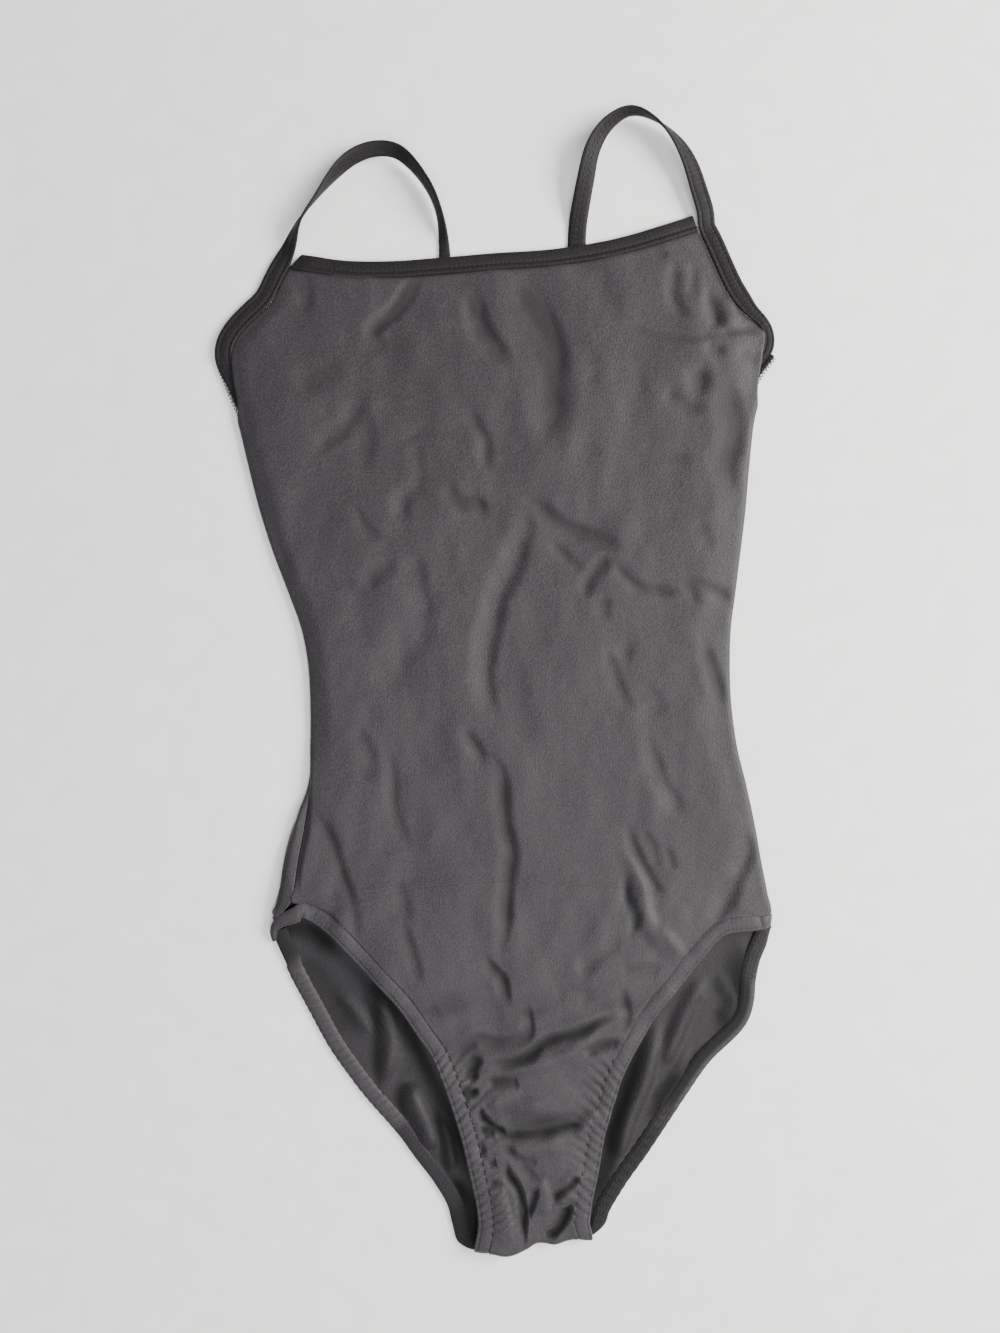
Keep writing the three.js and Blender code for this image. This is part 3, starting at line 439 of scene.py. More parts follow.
def cloth_piece(name, grid, material, thickness=KNIT_THICKNESS, shaded_crease=None):
    """A sheet of knit through a grid of points, in millimetres, with a real thickness. Its UV map
    holds metres along the cloth, and its attribute how much painted shade a point takes."""
    rows, columns = grid.shape[:2]
    shape = bmesh.new()
    bmesh.ops.create_grid(shape, x_segments=columns - 1, y_segments=rows - 1, size=1)
    for vertex, place in zip(shape.verts, grid.reshape(-1, 3) * MM):
        vertex.co = place
    bmesh.ops.recalc_face_normals(shape, faces=shape.faces)
    if sum(face.normal.z for face in shape.faces) < 0:
        bmesh.ops.reverse_faces(shape, faces=shape.faces)
    across = np.stack([run_of(row) for row in grid]) * MM
    down = np.repeat(run_of(grid[:, columns // 2])[:, None], columns, 1) * MM
    cloth_map = shape.loops.layers.uv.new("cloth")
    places = np.stack([across, down], 2).reshape(-1, 2)
    for face in shape.faces:
        face.smooth = True
        for loop in face.loops:
            loop[cloth_map].uv = places[loop.vert.index]
    piece = mesh_piece(name, shape, material)
    # Painted shade, one value a point, that the knit's colour darkens by
    if shaded_crease is not None:
        shade_values = piece.data.attributes.new("shaded_crease", "FLOAT", "POINT")
        shade_values.data.foreach_set("value", np.clip(shaded_crease, 0, 1).ravel().astype(np.float32))
    if thickness:
        wall = piece.modifiers.new("thickness", "SOLIDIFY")
        wall.thickness = thickness * MM
        wall.offset = 0
    return piece


class Signal:
    """One output of a material's nodes, which Python's arithmetic joins to others."""

    def __init__(self, shade, socket):
        self.shade, self.socket = shade, socket

    def math(self, operation, *values):
        settings = {"operation": operation}
        return self.shade.node("ShaderNodeMath", settings, dict(enumerate(values)))

    def __add__(self, other):
        return self.math("ADD", self, other)

    __radd__ = __add__

    def __mul__(self, other):
        return self.math("MULTIPLY", self, other)

    def __sub__(self, other):
        return self.math("SUBTRACT", self, other)


class Shade:
    """A material whose nodes are made one call at a time."""

    def __init__(self, name):
        self.material = bpy.data.materials.new(name)
        self.material.use_nodes = True
        self.tree = self.material.node_tree
        self.surface = self.tree.nodes["Principled BSDF"]

    def node(self, kind, settings=(), inputs=(), output=0):
        made = self.tree.nodes.new(kind)
        for key, value in dict(settings).items():
            setattr(made, key, value)
        for key, value in dict(inputs).items():
            self.feed(made.inputs[key], value)
        return Signal(self, made.outputs[output])

    def feed(self, socket, value):
        if isinstance(value, Signal):
            self.tree.links.new(value.socket, socket)
        else:
            socket.default_value = value

    def mix(self, factor, dark, light):
        return self.node("ShaderNodeMix", {"data_type": "RGBA"}, {0: factor, 6: dark, 7: light}, 2)


WALE, COURSE = 0.0009, 0.0011


def knit(name, colour, sheen=0.15, shine=0.32):
    """Charcoal stretch knit: fine upright ribs under an uneven grain and a little sheen, with painted
    shade where its attribute is high: in creases, beside the bindings and along the back hems. The colour is
    the middle of its tints."""
    shade = Shade(name)
    place = shade.node("ShaderNodeTexCoord", output="Object")
    cloth = shade.node("ShaderNodeUVMap", {"uv_map": "cloth"})
    across = shade.node("ShaderNodeSeparateXYZ", (), {0: cloth}, 0)
    down = shade.node("ShaderNodeSeparateXYZ", (), {0: cloth}, 1)
    # The painted shade of each point, read from its attribute
    shaded_crease = shade.node("ShaderNodeAttribute", {"attribute_name": "shaded_crease"}, output=2)
    cloudy = shade.node("ShaderNodeTexNoise", (), {"Vector": place, "Scale": 26.0, "Detail": 3.0})
    slubs = shade.node("ShaderNodeTexNoise", (), {"Vector": place, "Scale": 210.0, "Detail": 2.0})
    fine = shade.node("ShaderNodeTexNoise", (), {"Vector": place, "Scale": 900.0, "Detail": 3.0})
    wales = across.math("SINE", across * (2 * math.pi / WALE))
    courses = down.math("SINE", down * (2 * math.pi / COURSE))
    tint = cloudy * 0.35 + slubs * 0.3 + fine * 2.6 - 1.13
    grey = shade.mix(
        tint.math("MINIMUM", tint.math("MAXIMUM", tint, 0.0), 1.0),
        tuple(0.62 * part for part in colour) + (1,),
        tuple(1.38 * part for part in colour) + (1,),
    )
    # Painted shadow tint that the colour goes towards where the painted shade is high
    crease_shadow_tint = tuple(0.16 * part for part in colour) + (1,)
    shade.feed(shade.surface.inputs["Base Color"], shade.mix(shaded_crease * 0.92, grey, crease_shadow_tint))
    shade.feed(shade.surface.inputs["Roughness"], 0.44 + fine * 0.2 + cloudy * 0.08 + shaded_crease * 0.3)
    height = wales * 0.1 + wales * courses * 0.1 + fine * 1.5 + slubs * 1.1
    bump = shade.node("ShaderNodeBump", (), {"Strength": 0.6, "Distance": 0.0003, "Height": height})
    shade.feed(shade.surface.inputs["Normal"], bump)
    shade.surface.inputs["Specular IOR Level"].default_value = shine
    shade.surface.inputs["Sheen Weight"].default_value = sheen
    shade.surface.inputs["Sheen Roughness"].default_value = 0.45
    shade.surface.inputs["Sheen Tint"].default_value = (0.88, 0.82, 0.86, 1)
    return shade.material


charcoal_knit = knit("charcoal_knit", (0.0222, 0.019, 0.0211))

front_sections = np.array(seamed(FRONT_TOP, QUARTER) + BODY + seamed(FRONT_LEGS, QUARTER), float)
underarm = len(FRONT_TOP)
hip = underarm + len(BODY) - 1
crotch = hip + 6
TOP_ROWS, BODY_ROWS, LEG_ROWS, CROTCH_ROWS = 7, 10, 8, 13
FRONT_COLUMNS = 140
front_stops = stretched_rows(
    [
        (0, underarm, TOP_ROWS),
        (underarm, hip, BODY_ROWS),
        (hip, crotch, LEG_ROWS),
        (crotch, len(front_sections) - 1, CROTCH_ROWS),
    ]
)
front_rows = smooth_rows(front_sections, front_stops)


def front_surface(relief):
    return necked(turned_under(flattened_tube(front_rows, 1, FRONT_COLUMNS, relief, no_relief)))


front_plain = front_surface(no_relief)
front_grid = front_surface(front_relief)
UNDERARM_ROW = 5 * TOP_ROWS
HIP_ROW = underarm * TOP_ROWS + (hip - underarm) * BODY_ROWS
CROTCH_ROW = len(front_rows) - 1
TURNED_ROW = CROTCH_ROW + TURN_STEPS


def gather_relief(grid, rows, from_left, pitch, height, reach, slant):
    """Short ribs that the elastic of a leg hem draws in the panel beside it, over some rows."""
    first, last = rows
    side = grid[first:last] if from_left else grid[first:last, ::-1]
    edge_run = run_of(side[:, 0])[:, None]
    inset = np.linalg.norm(side - side[:, :1], axis=2)
    ends = ease(np.minimum(edge_run, edge_run[-1] - edge_run) / 14)
    wander = 0.6 * np.sin(edge_run / 9.1) + 0.5 * np.sin(edge_run / 4.3 + 1)
    wave = np.cos(2 * math.pi * (edge_run + slant * inset) / pitch + wander)
    lift = height * ends * wave * np.exp(-((inset / reach) ** 2))
    relief = np.zeros(grid.shape[:2])
    relief[first:last] = lift if from_left else lift[:, ::-1]
    return relief


LEFT_GATHERED = (HIP_ROW + 58, CROTCH_ROW - 3)
RIGHT_GATHERED = (HIP_ROW + 60, CROTCH_ROW - 6)
front_grid[..., 2] += gather_relief(
    front_plain, LEFT_GATHERED, True, pitch=5.4, height=0.6, reach=13, slant=0.55
)
front_grid[..., 2] += gather_relief(
    front_plain, RIGHT_GATHERED, False, pitch=5.8, height=0.45, reach=9, slant=0.5
)


def painted_crease_shade(grid, creases, deepest, widest=99):
    """The painted shade of the creases: how deep in a crease each point of a panel lies, as a share of
    the deepest. Creases wider than the widest get none, as light reaches their bottom."""
    narrow = [shaded_crease for shaded_crease in creases if shaded_crease[0] <= widest]
    return crease_heights(narrow, grid[..., 0], grid[..., 1])[0] / deepest


# Painted shade: the depths at which creases are darkest, and the widest that darkens below the bust.
# A shadow is also painted on the panel beside the ridge of the neckline and armhole bindings, over
# RIDGE_SHADOW.
BUST_DEEPEST, BODY_DEEPEST, CROTCH_DEEPEST = 3.9, 3.3, 2.0
WIDEST_DARK = 6.5
RIDGE_SHADOW, RIDGE_DARKNESS = 1.9, 0.9
CRUMPLE_DARKNESS = 0.4
# Painted shade in the front's creases
front_painted_shade = painted_crease_shade(front_plain, BUST_CREASES, BUST_DEEPEST)
front_painted_shade += painted_crease_shade(front_plain, WAIST_CREASES + HIP_CREASES, BODY_DEEPEST, WIDEST_DARK)
front_painted_shade += painted_crease_shade(front_plain, CROTCH_CREASES, CROTCH_DEEPEST)
# Painted shadow on the panel beside the neckline and armhole binding ridges
below_neck = np.stack([run_of(column) for column in front_plain.swapaxes(0, 1)], 1)
from_left = np.linalg.norm(front_plain - front_plain[:, :1], axis=2)
from_right = np.linalg.norm(front_plain - front_plain[:, -1:], axis=2)
to_binding = below_neck.copy()
armhole = slice(0, UNDERARM_ROW)
to_binding[armhole] = np.minimum(to_binding[armhole], np.minimum(from_left, from_right)[armhole])
front_painted_shade += RIDGE_DARKNESS * np.exp(-((to_binding / RIDGE_SHADOW) ** 2))
# Painted shade in the troughs of the crumpled wrinkles above the crotch
front_painted_shade += CRUMPLE_DARKNESS * np.maximum(0, -crumple(front_plain[..., 0], front_plain[..., 1]))

front_panel = cloth_piece("front_cloth", front_grid, charcoal_knit, shaded_crease=front_painted_shade)
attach(front_panel, "root")
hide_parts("front_panel")


# Back panel
# The same knit, cut to a low scoop at the back and a fuller seat. It lies on the table under
# the front, wraps forward over the left hip, and shows its inner side in the leg openings.

SCOOP = [-80, -66, -50, -34, -20, -10, -4, 0]
BACK_HIPS = [
    (-135.4, -141, 7, 162.4, -146, -3.4, 22, 6.4, 4.6, 4.6),
    (-131, -148, 1, 158.2, -154, -3.4, 16, 6.0, 4.2, 3.6),
    (-129, -154, -3.4, 153.6, -166, -3.4, 8, 5.0, 3.6, 3.0),
]
# The seat lies flat on the table, with the same heights and the seam at -QUARTER all the way down,
# so only its left x and y and its right x and y are given
SEAT = [
    (-124.5, -161, 150.8, -180), (-118.6, -174, 149.8, -192), (-108.4, -193, 145, -204),
    (-96.4, -215, 125.6, -223), (-83.8, -233, 111.4, -243), (-73.6, -246, 102.8, -256),
    (-55, -267, 86.2, -281), (-44.8, -281, 76.8, -294), (-34, -295, 69, -306),
    (-24.4, -311, 62.8, -317), (-20.8, -324, 60.4, -326), (-17.6, -337.4, 59.4, -329.4),
]
SEAT_HEIGHTS = (0, 0.6, 3.0, 0.6)
BACK_CREASES = [
    (7, -4.0, [(-72, -178), (-66, -196), (-63, -220), (-66, -246)]),
    (5, -1.8, [(-96, -186), (-84, -196), (-74, -214)]),
    (7, -4.2, [(-52, -240), (-44, -262), (-37, -284)]),
    (5, -2.4, [(-34, -262), (-27, -276), (-24, -296)]),
    (7, -5.0, [(98, -200), (90, -240), (80, -268), (72, -290)]),
    (6, -3.4, [(128, -178), (112, -206), (100, -232)]),
    (5, -2.2, [(134, -176), (142, -192), (136, -204)]),
    (5, -1.6, [(116, -220), (108, -238), (96, -256)]),
    (9, -1.3, [(-60, 70), (-40, 20), (-30, -40)]),
    (8, -1.5, [(30, 60), (44, 10), (40, -50)]),
    (7, -1.2, [(92, 90), (84, 40), (98, -10)]),
    (9, -1.4, [(-84, -10), (-66, -60), (-70, -110)]),
    (8, -1.6, [(10, -60), (22, -110), (14, -160)]),
    (7, -1.2, [(110, -60), (96, -110), (104, -150)]),
    (6, -1.3, [(-10, -200), (14, -214), (42, -206)]),
    (5, -1.2, [(2, -262), (20, -268), (40, -262)]),
]

# Painted shadows in hollows of the seat under the front: half width, darkness, and the line
BACK_HOLLOW_SHADOWS = [
    (4, 0.9, [(-71.4, -170), (-70.8, -185), (-70.2, -215), (-69, -252)]),
    (4, 0.8, [(-45.6, -241.5), (-56.4, -247.5), (-54.6, -267)]),
    (4, 0.8, [(-35.4, -253.5), (-29.4, -280.5), (-30.6, -300)]),
    (13, 1.0, [(-33, -296), (-20, -310), (-12, -326), (-10, -345)]),
    (8, 0.9, [(-134, -153), (-122, -148), (-106, -154), (-92, -168)]),
    (6, 0.9, [(-92, -168), (-57, -200), (-40, -232), (-24, -275), (-14, -315)]),
    (11, 1.0, [(142, -150), (148, -172), (150, -192), (143, -208), (128, -225)]),
    (6, 0.9, [(138, -216), (120, -232), (106, -248), (94, -264)]),
    (9, 1.0, [(92, -205), (84, -232), (76, -258), (70, -284), (62, -310), (56, -328)]),
    (5, 0.8, [(113.4, -233), (101.4, -250.5), (92, -266)]),
    (12, 0.5, [(-118, -165), (-98, -186), (-84, -214)]),
]


def back_relief(x, y):
    """The seat stands in ridges where it has more cloth than the table needs."""
    dips, rises = crease_heights(BACK_CREASES, x, y)
    return np.maximum(0, rises - dips)


seat_sections = seamed([places + SEAT_HEIGHTS for places in SEAT], -QUARTER)
back_sections = np.array(BODY + BACK_HIPS + seat_sections, float)
BACK_ROWS = 8
BACK_COLUMNS = 92
back_stops = stretched_rows([(0, len(back_sections) - 1, BACK_ROWS)])
back_rows = smooth_rows(back_sections, back_stops)
back_rows[:, 6] += smooth_rows([[bow] for bow in SCOOP], back_stops)[:, 0]
back_plain = flattened_tube(back_rows, -1, BACK_COLUMNS, no_relief, no_relief)
back_grid = flattened_tube(back_rows, -1, BACK_COLUMNS, front_relief, back_relief)
BACK_HIP_ROW = (len(BODY) - 1) * BACK_ROWS
BACK_LAST_ROW = len(back_rows) - 1

# The knit's inner side: duller than the outer side, and darker partly as painted shade of the leg openings
# under the front
knit_inside_shaded = knit("knit_inside_shaded", (0.014, 0.0119, 0.0132), sheen=0.05, shine=0.26)
# The back panel carries painted shadows in the seat's hollows
back_panel = cloth_piece(
    "back_cloth", back_grid, knit_inside_shaded, shaded_crease=painted_crease_shade(back_plain, BACK_HOLLOW_SHADOWS, 1.0)
)
back_panel.data.materials.append(charcoal_knit)
back_panel.modifiers["thickness"].material_offset = 1
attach(back_panel, "root")
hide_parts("back_panel")


# Leg hems
# The knit is turned over a flat elastic and held by twin stitching. The elastic gathers it
# into small ribs towards the crotch, and the stitching shows as zigzag on the inner side.

HEM_STITCH = 2.9
HEM_GROOVE = 7.35
STRIP_STEP = 0.9


def unit(vectors):
    return vectors / np.linalg.norm(vectors, axis=-1, keepdims=True)


def grid_normals(grid):
    down = np.gradient(grid, axis=0, edge_order=2)
    across = np.gradient(grid, axis=1, edge_order=2)
    return unit(np.cross(down, across))


def edge_frames(points, normals, last_out):
    """Frames along a panel's edge: the point, the level way out of the panel, the face's normal."""
    outs = np.cross(np.gradient(points, axis=0), normals)
    outs[:, 2] = 0
    outs = unit(outs)
    kept = np.array(last_out, float)
    for k in range(len(outs) - 1, -1, -1):
        if outs[k] @ kept < 0:
            outs[k] = -outs[k]
        kept = outs[k]
    return points.copy(), outs, squared(normals, outs)


def squared(normals, outs):
    return unit(normals - outs * (normals * outs).sum(1, keepdims=True))


def side_edge(grid, column, first, last):
    """Frames down one side of a panel."""
    normals = grid_normals(grid)
    rows = slice(first, last + 1)
    return edge_frames(grid[rows, column], normals[rows, column], (-1 if column == 0 else 1, 0, 0))


def evened(frames, step):
    """The same frames at even steps along their run."""
    run = run_of(frames[0])
    stops = np.linspace(0, run[-1], max(2, int(run[-1] / step) + 1))
    even = [np.stack([np.interp(stops, run, part[:, k]) for k in range(3)], 1) for part in frames]
    return even[0], even[1], unit(even[2])


def strip_piece(name, frames, outline, material, lift=None, relief=None, shaded_crease=None):
    """A closed strip along frames. The outline gives distances out of the panel's edge and
    heights over it, round the strip's section."""
    points, outs, normals = frames
    outline = np.array(outline + outline[:1], float)
    heights = np.repeat(outline[None, :, 1], len(points), 0)
    if lift is not None:
        heights = heights + lift(run_of(points)[:, None], outline[None, :, 0], outline[None, :, 1])
    grid = points[:, None] + outs[:, None] * outline[None, :, :1] + normals[:, None] * heights[..., None]
    if relief is not None:
        grid[..., 2] += relief(grid[..., 0], grid[..., 1])
    grid[..., 2] = np.maximum(grid[..., 2], 0)
    # Painted shade along the strip, if it is given
    shade_values = None if shaded_crease is None else shaded_crease(run_of(points)[:, None], outline[None, :, 0])
    piece = cloth_piece(name, grid, material, thickness=0, shaded_crease=shade_values)
    shape = bmesh.new()
    shape.from_mesh(piece.data)
    bmesh.ops.remove_doubles(shape, verts=shape.verts, dist=2e-6)
    bmesh.ops.holes_fill(shape, edges=shape.edges, sides=0)
    bmesh.ops.recalc_face_normals(shape, faces=shape.faces)
    shape.to_mesh(piece.data)
    shape.free()
    return piece


def stitch_piece(name, rows, material, size=(2.2, 0.45, 0.34), slope=0.0, relief=None):
    """Rows of thread stitches in one mesh. A row is its frames, its distance out of the edge,
    its height and its pitch. A slope turns every second stitch the other way, as zigzag."""
    length, width, height = size
    shape = bmesh.new()
    for frames, out, up, pitch in rows:
        points, outs, normals = evened(frames, pitch)
        runs = unit(np.gradient(points, axis=0))
        for k in range(1, len(points) - 1):
            turn = slope if k % 2 else -slope
            way = unit(runs[k] * math.cos(turn) + unit(outs[k]) * math.sin(turn))
            place = points[k] + outs[k] * out + normals[k] * up
            if relief is not None:
                place[2] += relief(place[:1], place[1:2])[0]
            beside = np.cross(normals[k], way)
            axes = Matrix((way * length / 2, beside * width / 2, normals[k] * height / 2)).transposed()
            matrix = Matrix.Translation(Vector(place * MM)) @ (axes * MM).to_4x4()
            bmesh.ops.create_icosphere(shape, subdivisions=1, radius=1, matrix=matrix)
    for face in shape.faces:
        face.smooth = True
    return mesh_piece(name, shape, material)


def thread(name, dark, light):
    """Spun charcoal thread, a little shinier and darker than the knit."""
    shade = Shade(name)
    place = shade.node("ShaderNodeTexCoord", output="Object")
    twist = shade.node("ShaderNodeTexNoise", (), {"Vector": place, "Scale": 2600.0, "Detail": 2.0})
    shade.feed(shade.surface.inputs["Base Color"], shade.mix(twist, dark, light))
    shade.feed(shade.surface.inputs["Roughness"], 0.4 + twist * 0.25)
    bump = shade.node("ShaderNodeBump", (), {"Strength": 0.4, "Distance": 0.00008, "Height": twist})
    shade.feed(shade.surface.inputs["Normal"], bump)
    shade.surface.inputs["Specular IOR Level"].default_value = 0.18
    shade.surface.inputs["Sheen Weight"].default_value = 0.04
    return shade.material


charcoal_thread = thread("charcoal_thread", (0.012, 0.0102, 0.0114, 1), (0.025, 0.0215, 0.0238, 1))
hem_knit = knit("hem_knit", (0.0232, 0.02, 0.0222))

FRONT_HEM = [
    (-0.6, 0.36), (0.0, 0.30), (0.4, 0.42), (1.2, 0.66), (3.2, 0.84), (5.6, 0.84), (6.9, 0.66),
    (HEM_GROOVE, 0.34), (7.8, 0.6), (8.5, 0.5), (9.0, 0.1), (9.1, -0.5), (8.6, -1.1), (6, -1.4), (2, -1.3),
    (-0.4, -0.7),
]
BACK_HEM = [
    (-0.6, 0.4), (0.0, 0.7), (0.8, 1.25), (2.4, 1.6), (5.0, 1.65), (7.2, 1.45), (8.6, 1.15), (9.1, 0.55),
    (8.9, -0.1), (8.2, -0.45), (5, -0.56), (2, -0.56), (-0.4, -0.5),
]


def hem_gathers(total, first, last, pitch, height, slant):
    """Ribs across a hem between two shares of its length, with a faint pucker elsewhere."""

    def lift(run, out, up):
        share = run / total
        inside = ease((share - first) / 0.05) * ease((last - share) / 0.05)
        wander = 0.7 * np.sin(run / 7.7) + 0.5 * np.sin(run / 3.9 + 2)
        ribs = np.cos(2 * math.pi * (run - slant * out) / pitch + wander)
        pucker = 0.05 * np.cos(2 * math.pi * run / HEM_STITCH)
        drawn = 1 - 0.5 * np.exp(-((out / 1.2) ** 2)) - 0.4 * np.exp(-(((out - HEM_GROOVE) / 0.9) ** 2))
        return np.where(up > 0, inside * height * ribs * drawn + pucker, 0)

    return lift


def hem_length(frames):
    return run_of(frames[0])[-1]


def turned_frames(places, side):
    """Frames through given places. Their way out is right of the run for 1, left for -1."""
    points = np.array(places, float)
    run = unit(np.gradient(points, axis=0) * (1, 1, 0))
    outs = np.stack([run[:, 1], -run[:, 0], np.zeros(len(run))], 1) * side
    return points, outs, np.repeat([[0.0, 0.0, 1.0]], len(points), 0)


JOIN_EASING = 10


def eased(frames, passes):
    """Frames whose turns and joints are softened, more so with more passes."""
    soft = [part.copy() for part in frames]
    for part in soft:
        for _ in range(passes):
            part[1:-1] = (part[:-2] + 2 * part[1:-1] + part[2:]) / 4
    return soft


def joined(*parts):
    return eased(evened([np.concatenate(part) for part in zip(*parts)], STRIP_STEP), JOIN_EASING)


def narrowed(frames, start, end, over=14):
    """The strip's width drawn in towards its two ends, to a share of itself."""
    points, outs, normals = frames
    run = run_of(points)
    share = 1 - (1 - start) * ease(1 - run / over) - (1 - end) * ease(1 - (run[-1] - run) / over)
    return points, outs * share[:, None], normals


def part_of(frames, first, last):
    count = len(frames[0])
    return [part[int(first * count) : int(last * count)] for part in frames]


# Where the hems turn round the side folds at the hips, and round the crotch's two corners
FRONT_LEFT_TIP = [
    (-134.6, -156.4, 1.6), (-136.2, -150.8, 3.0), (-135, -145.4, 4.4), (-131, -141, 5.4),
    (-125.4, -137.2, 6.0), (-119.6, -134.6, 6.2),
]
FRONT_RIGHT_TIP = [(166.5, -140, 1.6), (165.6, -139.9, 3.4), (162.8, -139.8, 4.7), (158.6, -140.1, 5.3)]
BACK_LEFT_TIP = [(-127, -148, 1.8), (-124.6, -154, 1.3), (-121, -160.8, 1.0), (-117.4, -167.8, 0.8)]
BACK_RIGHT_TIP = [(159.6, -144, 2.2), (157, -150, 1.7), (154, -157, 1.3), (151.4, -163.4, 0.9)]
BACK_LEFT_END = [(-12.6, -335, 0.6), (-8.4, -336.8, 0.6), (-3.4, -337.6, 0.6), (2, -338, 0.6)]
BACK_RIGHT_END = [(56.2, -329.4, 0.6), (54.4, -330.8, 0.6), (52.2, -331.6, 0.6), (50, -331.8, 0.6)]
# Rows of the front, and of the back's two sides, that the hips' turns take up
FRONT_SKIP, LEFT_SKIP, RIGHT_SKIP = 4, 36, 24

front_hems = {
    "left": narrowed(
        joined(
            turned_frames(FRONT_LEFT_TIP, 1),
            side_edge(front_plain, 0, HIP_ROW + FRONT_SKIP, TURNED_ROW),
        ),
        0.42, 1, over=30,
    ),
    "right": narrowed(
        joined(
            turned_frames(FRONT_RIGHT_TIP, -1),
            side_edge(front_plain, -1, HIP_ROW + FRONT_SKIP, TURNED_ROW),
        ),
        0.8, 1,
    ),
}
back_hems = {
    "left": narrowed(
        joined(
            turned_frames(BACK_LEFT_TIP, 1),
            side_edge(back_plain, 0, BACK_HIP_ROW + LEFT_SKIP, BACK_LAST_ROW),
            turned_frames(BACK_LEFT_END, 1),
        ),
        0.9, 0.45, over=20,
    ),
    "right": narrowed(
        joined(
            turned_frames(BACK_RIGHT_TIP, -1),
            side_edge(back_plain, -1, BACK_HIP_ROW + RIGHT_SKIP, BACK_LAST_ROW),
            turned_frames(BACK_RIGHT_END, -1),
        ),
        0.8, 0.4,
    ),
}
# The gathers' first and last share of the hem, their pitch and height, and how much they slant
FRONT_GATHERS = {"left": (0.52, 0.97, 5.4, 0.42), "right": (0.52, 0.94, 5.8, 0.34)}
BACK_GATHERS = {"left": (0.06, 0.6, 4.6, 0.4), "right": (0.4, 0.96, 6.2, 0.25)}
FRONT_SLANT, BACK_SLANT = 0.55, -0.4
# The stretches of the back hems that show the zigzag of their inner side
ZIGZAG_PARTS = {"left": [(0.58, 0.93)], "right": [(0.02, 0.17), (0.56, 0.97)]}
ZIGZAG_ROWS = [(2.2, 1.66), (4.2, 1.72), (6.2, 1.66)]
ZIGZAG_PITCH = 1.7
RIM = 6.4


def left_hem_shade(total):
    """Painted shade on the left back hem: at its start by the hip, and where it lies under the front towards
    the crotch.
    """

    def depth(run, out):
        share = run / total
        hollow = 1 - ease((share - 0.06) / 0.06)
        return hollow + 0.6 * ease((share - 0.56) / 0.04) + 0.4 * ease((share - 0.8) / 0.08) + 0 * out

    return depth


def right_hem_shade(total):
    """Painted shade on the right back hem: some all along and more towards the crotch; where it stands on
    edge from the hip to the seat, all but its lit rim is shaded.
    """

    def depth(run, out):
        share = run / total
        on_edge = ease((share - 0.14) / 0.05) * ease((0.6 - share) / 0.06)
        return 0.55 + 0.35 * ease((share - 0.6) / 0.08) + on_edge * np.where(out < RIM, 0.45, -0.55)

    return depth


BACK_SHADES = {"left": left_hem_shade, "right": right_hem_shade}
hem_thread = thread("hem_thread", (0.017, 0.0148, 0.0162, 1), (0.032, 0.028, 0.0305, 1))

# Metres of hem that were cut for each stretch
FRONT_HEM_LENGTHS = {"left": 0.25, "right": 0.24}
BACK_HEM_LENGTHS = {"left": 0.235, "right": 0.23}
hem_pieces = []
for side, frames in front_hems.items():
    lift = hem_gathers(hem_length(frames), *FRONT_GATHERS[side], FRONT_SLANT)
    hem = strip_piece(f"front_hem_{side}", frames, FRONT_HEM, hem_knit, lift, front_relief)
    rows = [(frames, 0.0, 0.36, HEM_STITCH), (frames, HEM_GROOVE, 0.44, HEM_STITCH)]
    seams = stitch_piece(
        f"front_hem_{side}_stitches", rows, hem_thread, size=(1.7, 0.36, 0.26), relief=front_relief
    )
    hem_pieces.append((hem, seams, f"front_leg_hem_{side}", FRONT_HEM_LENGTHS[side]))

for side, frames in back_hems.items():
    lift = hem_gathers(hem_length(frames), *BACK_GATHERS[side], BACK_SLANT)
    # Each back hem gets painted shade along it
    shade = BACK_SHADES[side](hem_length(frames))
    hem = strip_piece(f"back_hem_{side}", frames, BACK_HEM, hem_knit, lift, shaded_crease=shade)
    stretches = [part_of(frames, first, last) for first, last in ZIGZAG_PARTS[side]]
    rows = [(stretch, *row, ZIGZAG_PITCH) for stretch in stretches for row in ZIGZAG_ROWS]
    seams = stitch_piece(
        f"back_hem_{side}_zigzag", rows, charcoal_thread, size=(2.6, 0.4, 0.3), slope=0.8
    )
    hem_pieces.append((hem, seams, f"back_leg_hem_{side}", BACK_HEM_LENGTHS[side]))

for hem, seams, node, length in hem_pieces:
    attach(hem, "root")
    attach(seams, "root")
    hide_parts(node)
    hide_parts(node)


# Neckline binding
# A folded strip of the knit over elastic, sewn along the front's top edge. Its lower edge rolls
# into a round ridge above the panel, with a row of stitching between the ridge and the flat.

NECK_GROOVE = 2.95
NECK_BINDING = [
    (-0.7, 0.35), (-0.45, 0.95), (0.2, 1.35), (1.1, 1.5), (2.0, 1.3), (2.6, 0.85), (NECK_GROOVE, 0.62),
    (3.3, 0.85), (4.4, 1.02), (6.4, 1.05), (8.2, 0.92), (9.2, 0.62), (9.6, 0.1), (9.4, -0.45), (7, -0.7),
    (3, -0.7), (0.2, -0.6),
]
NECK_LEAN = 0.64
LEAN_LENGTH = 24
BINDING_STITCH = 2.8


def stitch_pucker(run, out, up):
    return np.where(up > 0, 0.05 * np.cos(2 * math.pi * run / BINDING_STITCH), 0)


neck_points = front_plain[0]
neck_frames = evened(edge_frames(neck_points, grid_normals(front_plain)[0], (0, 1, 0)), STRIP_STEP)
points, outs, normals = neck_frames
lean = NECK_LEAN * np.maximum(0, 1 - run_of(points) / LEAN_LENGTH)[:, None]
neck_frames = (points, outs + unit(points[1] - points[0]) * lean, normals)

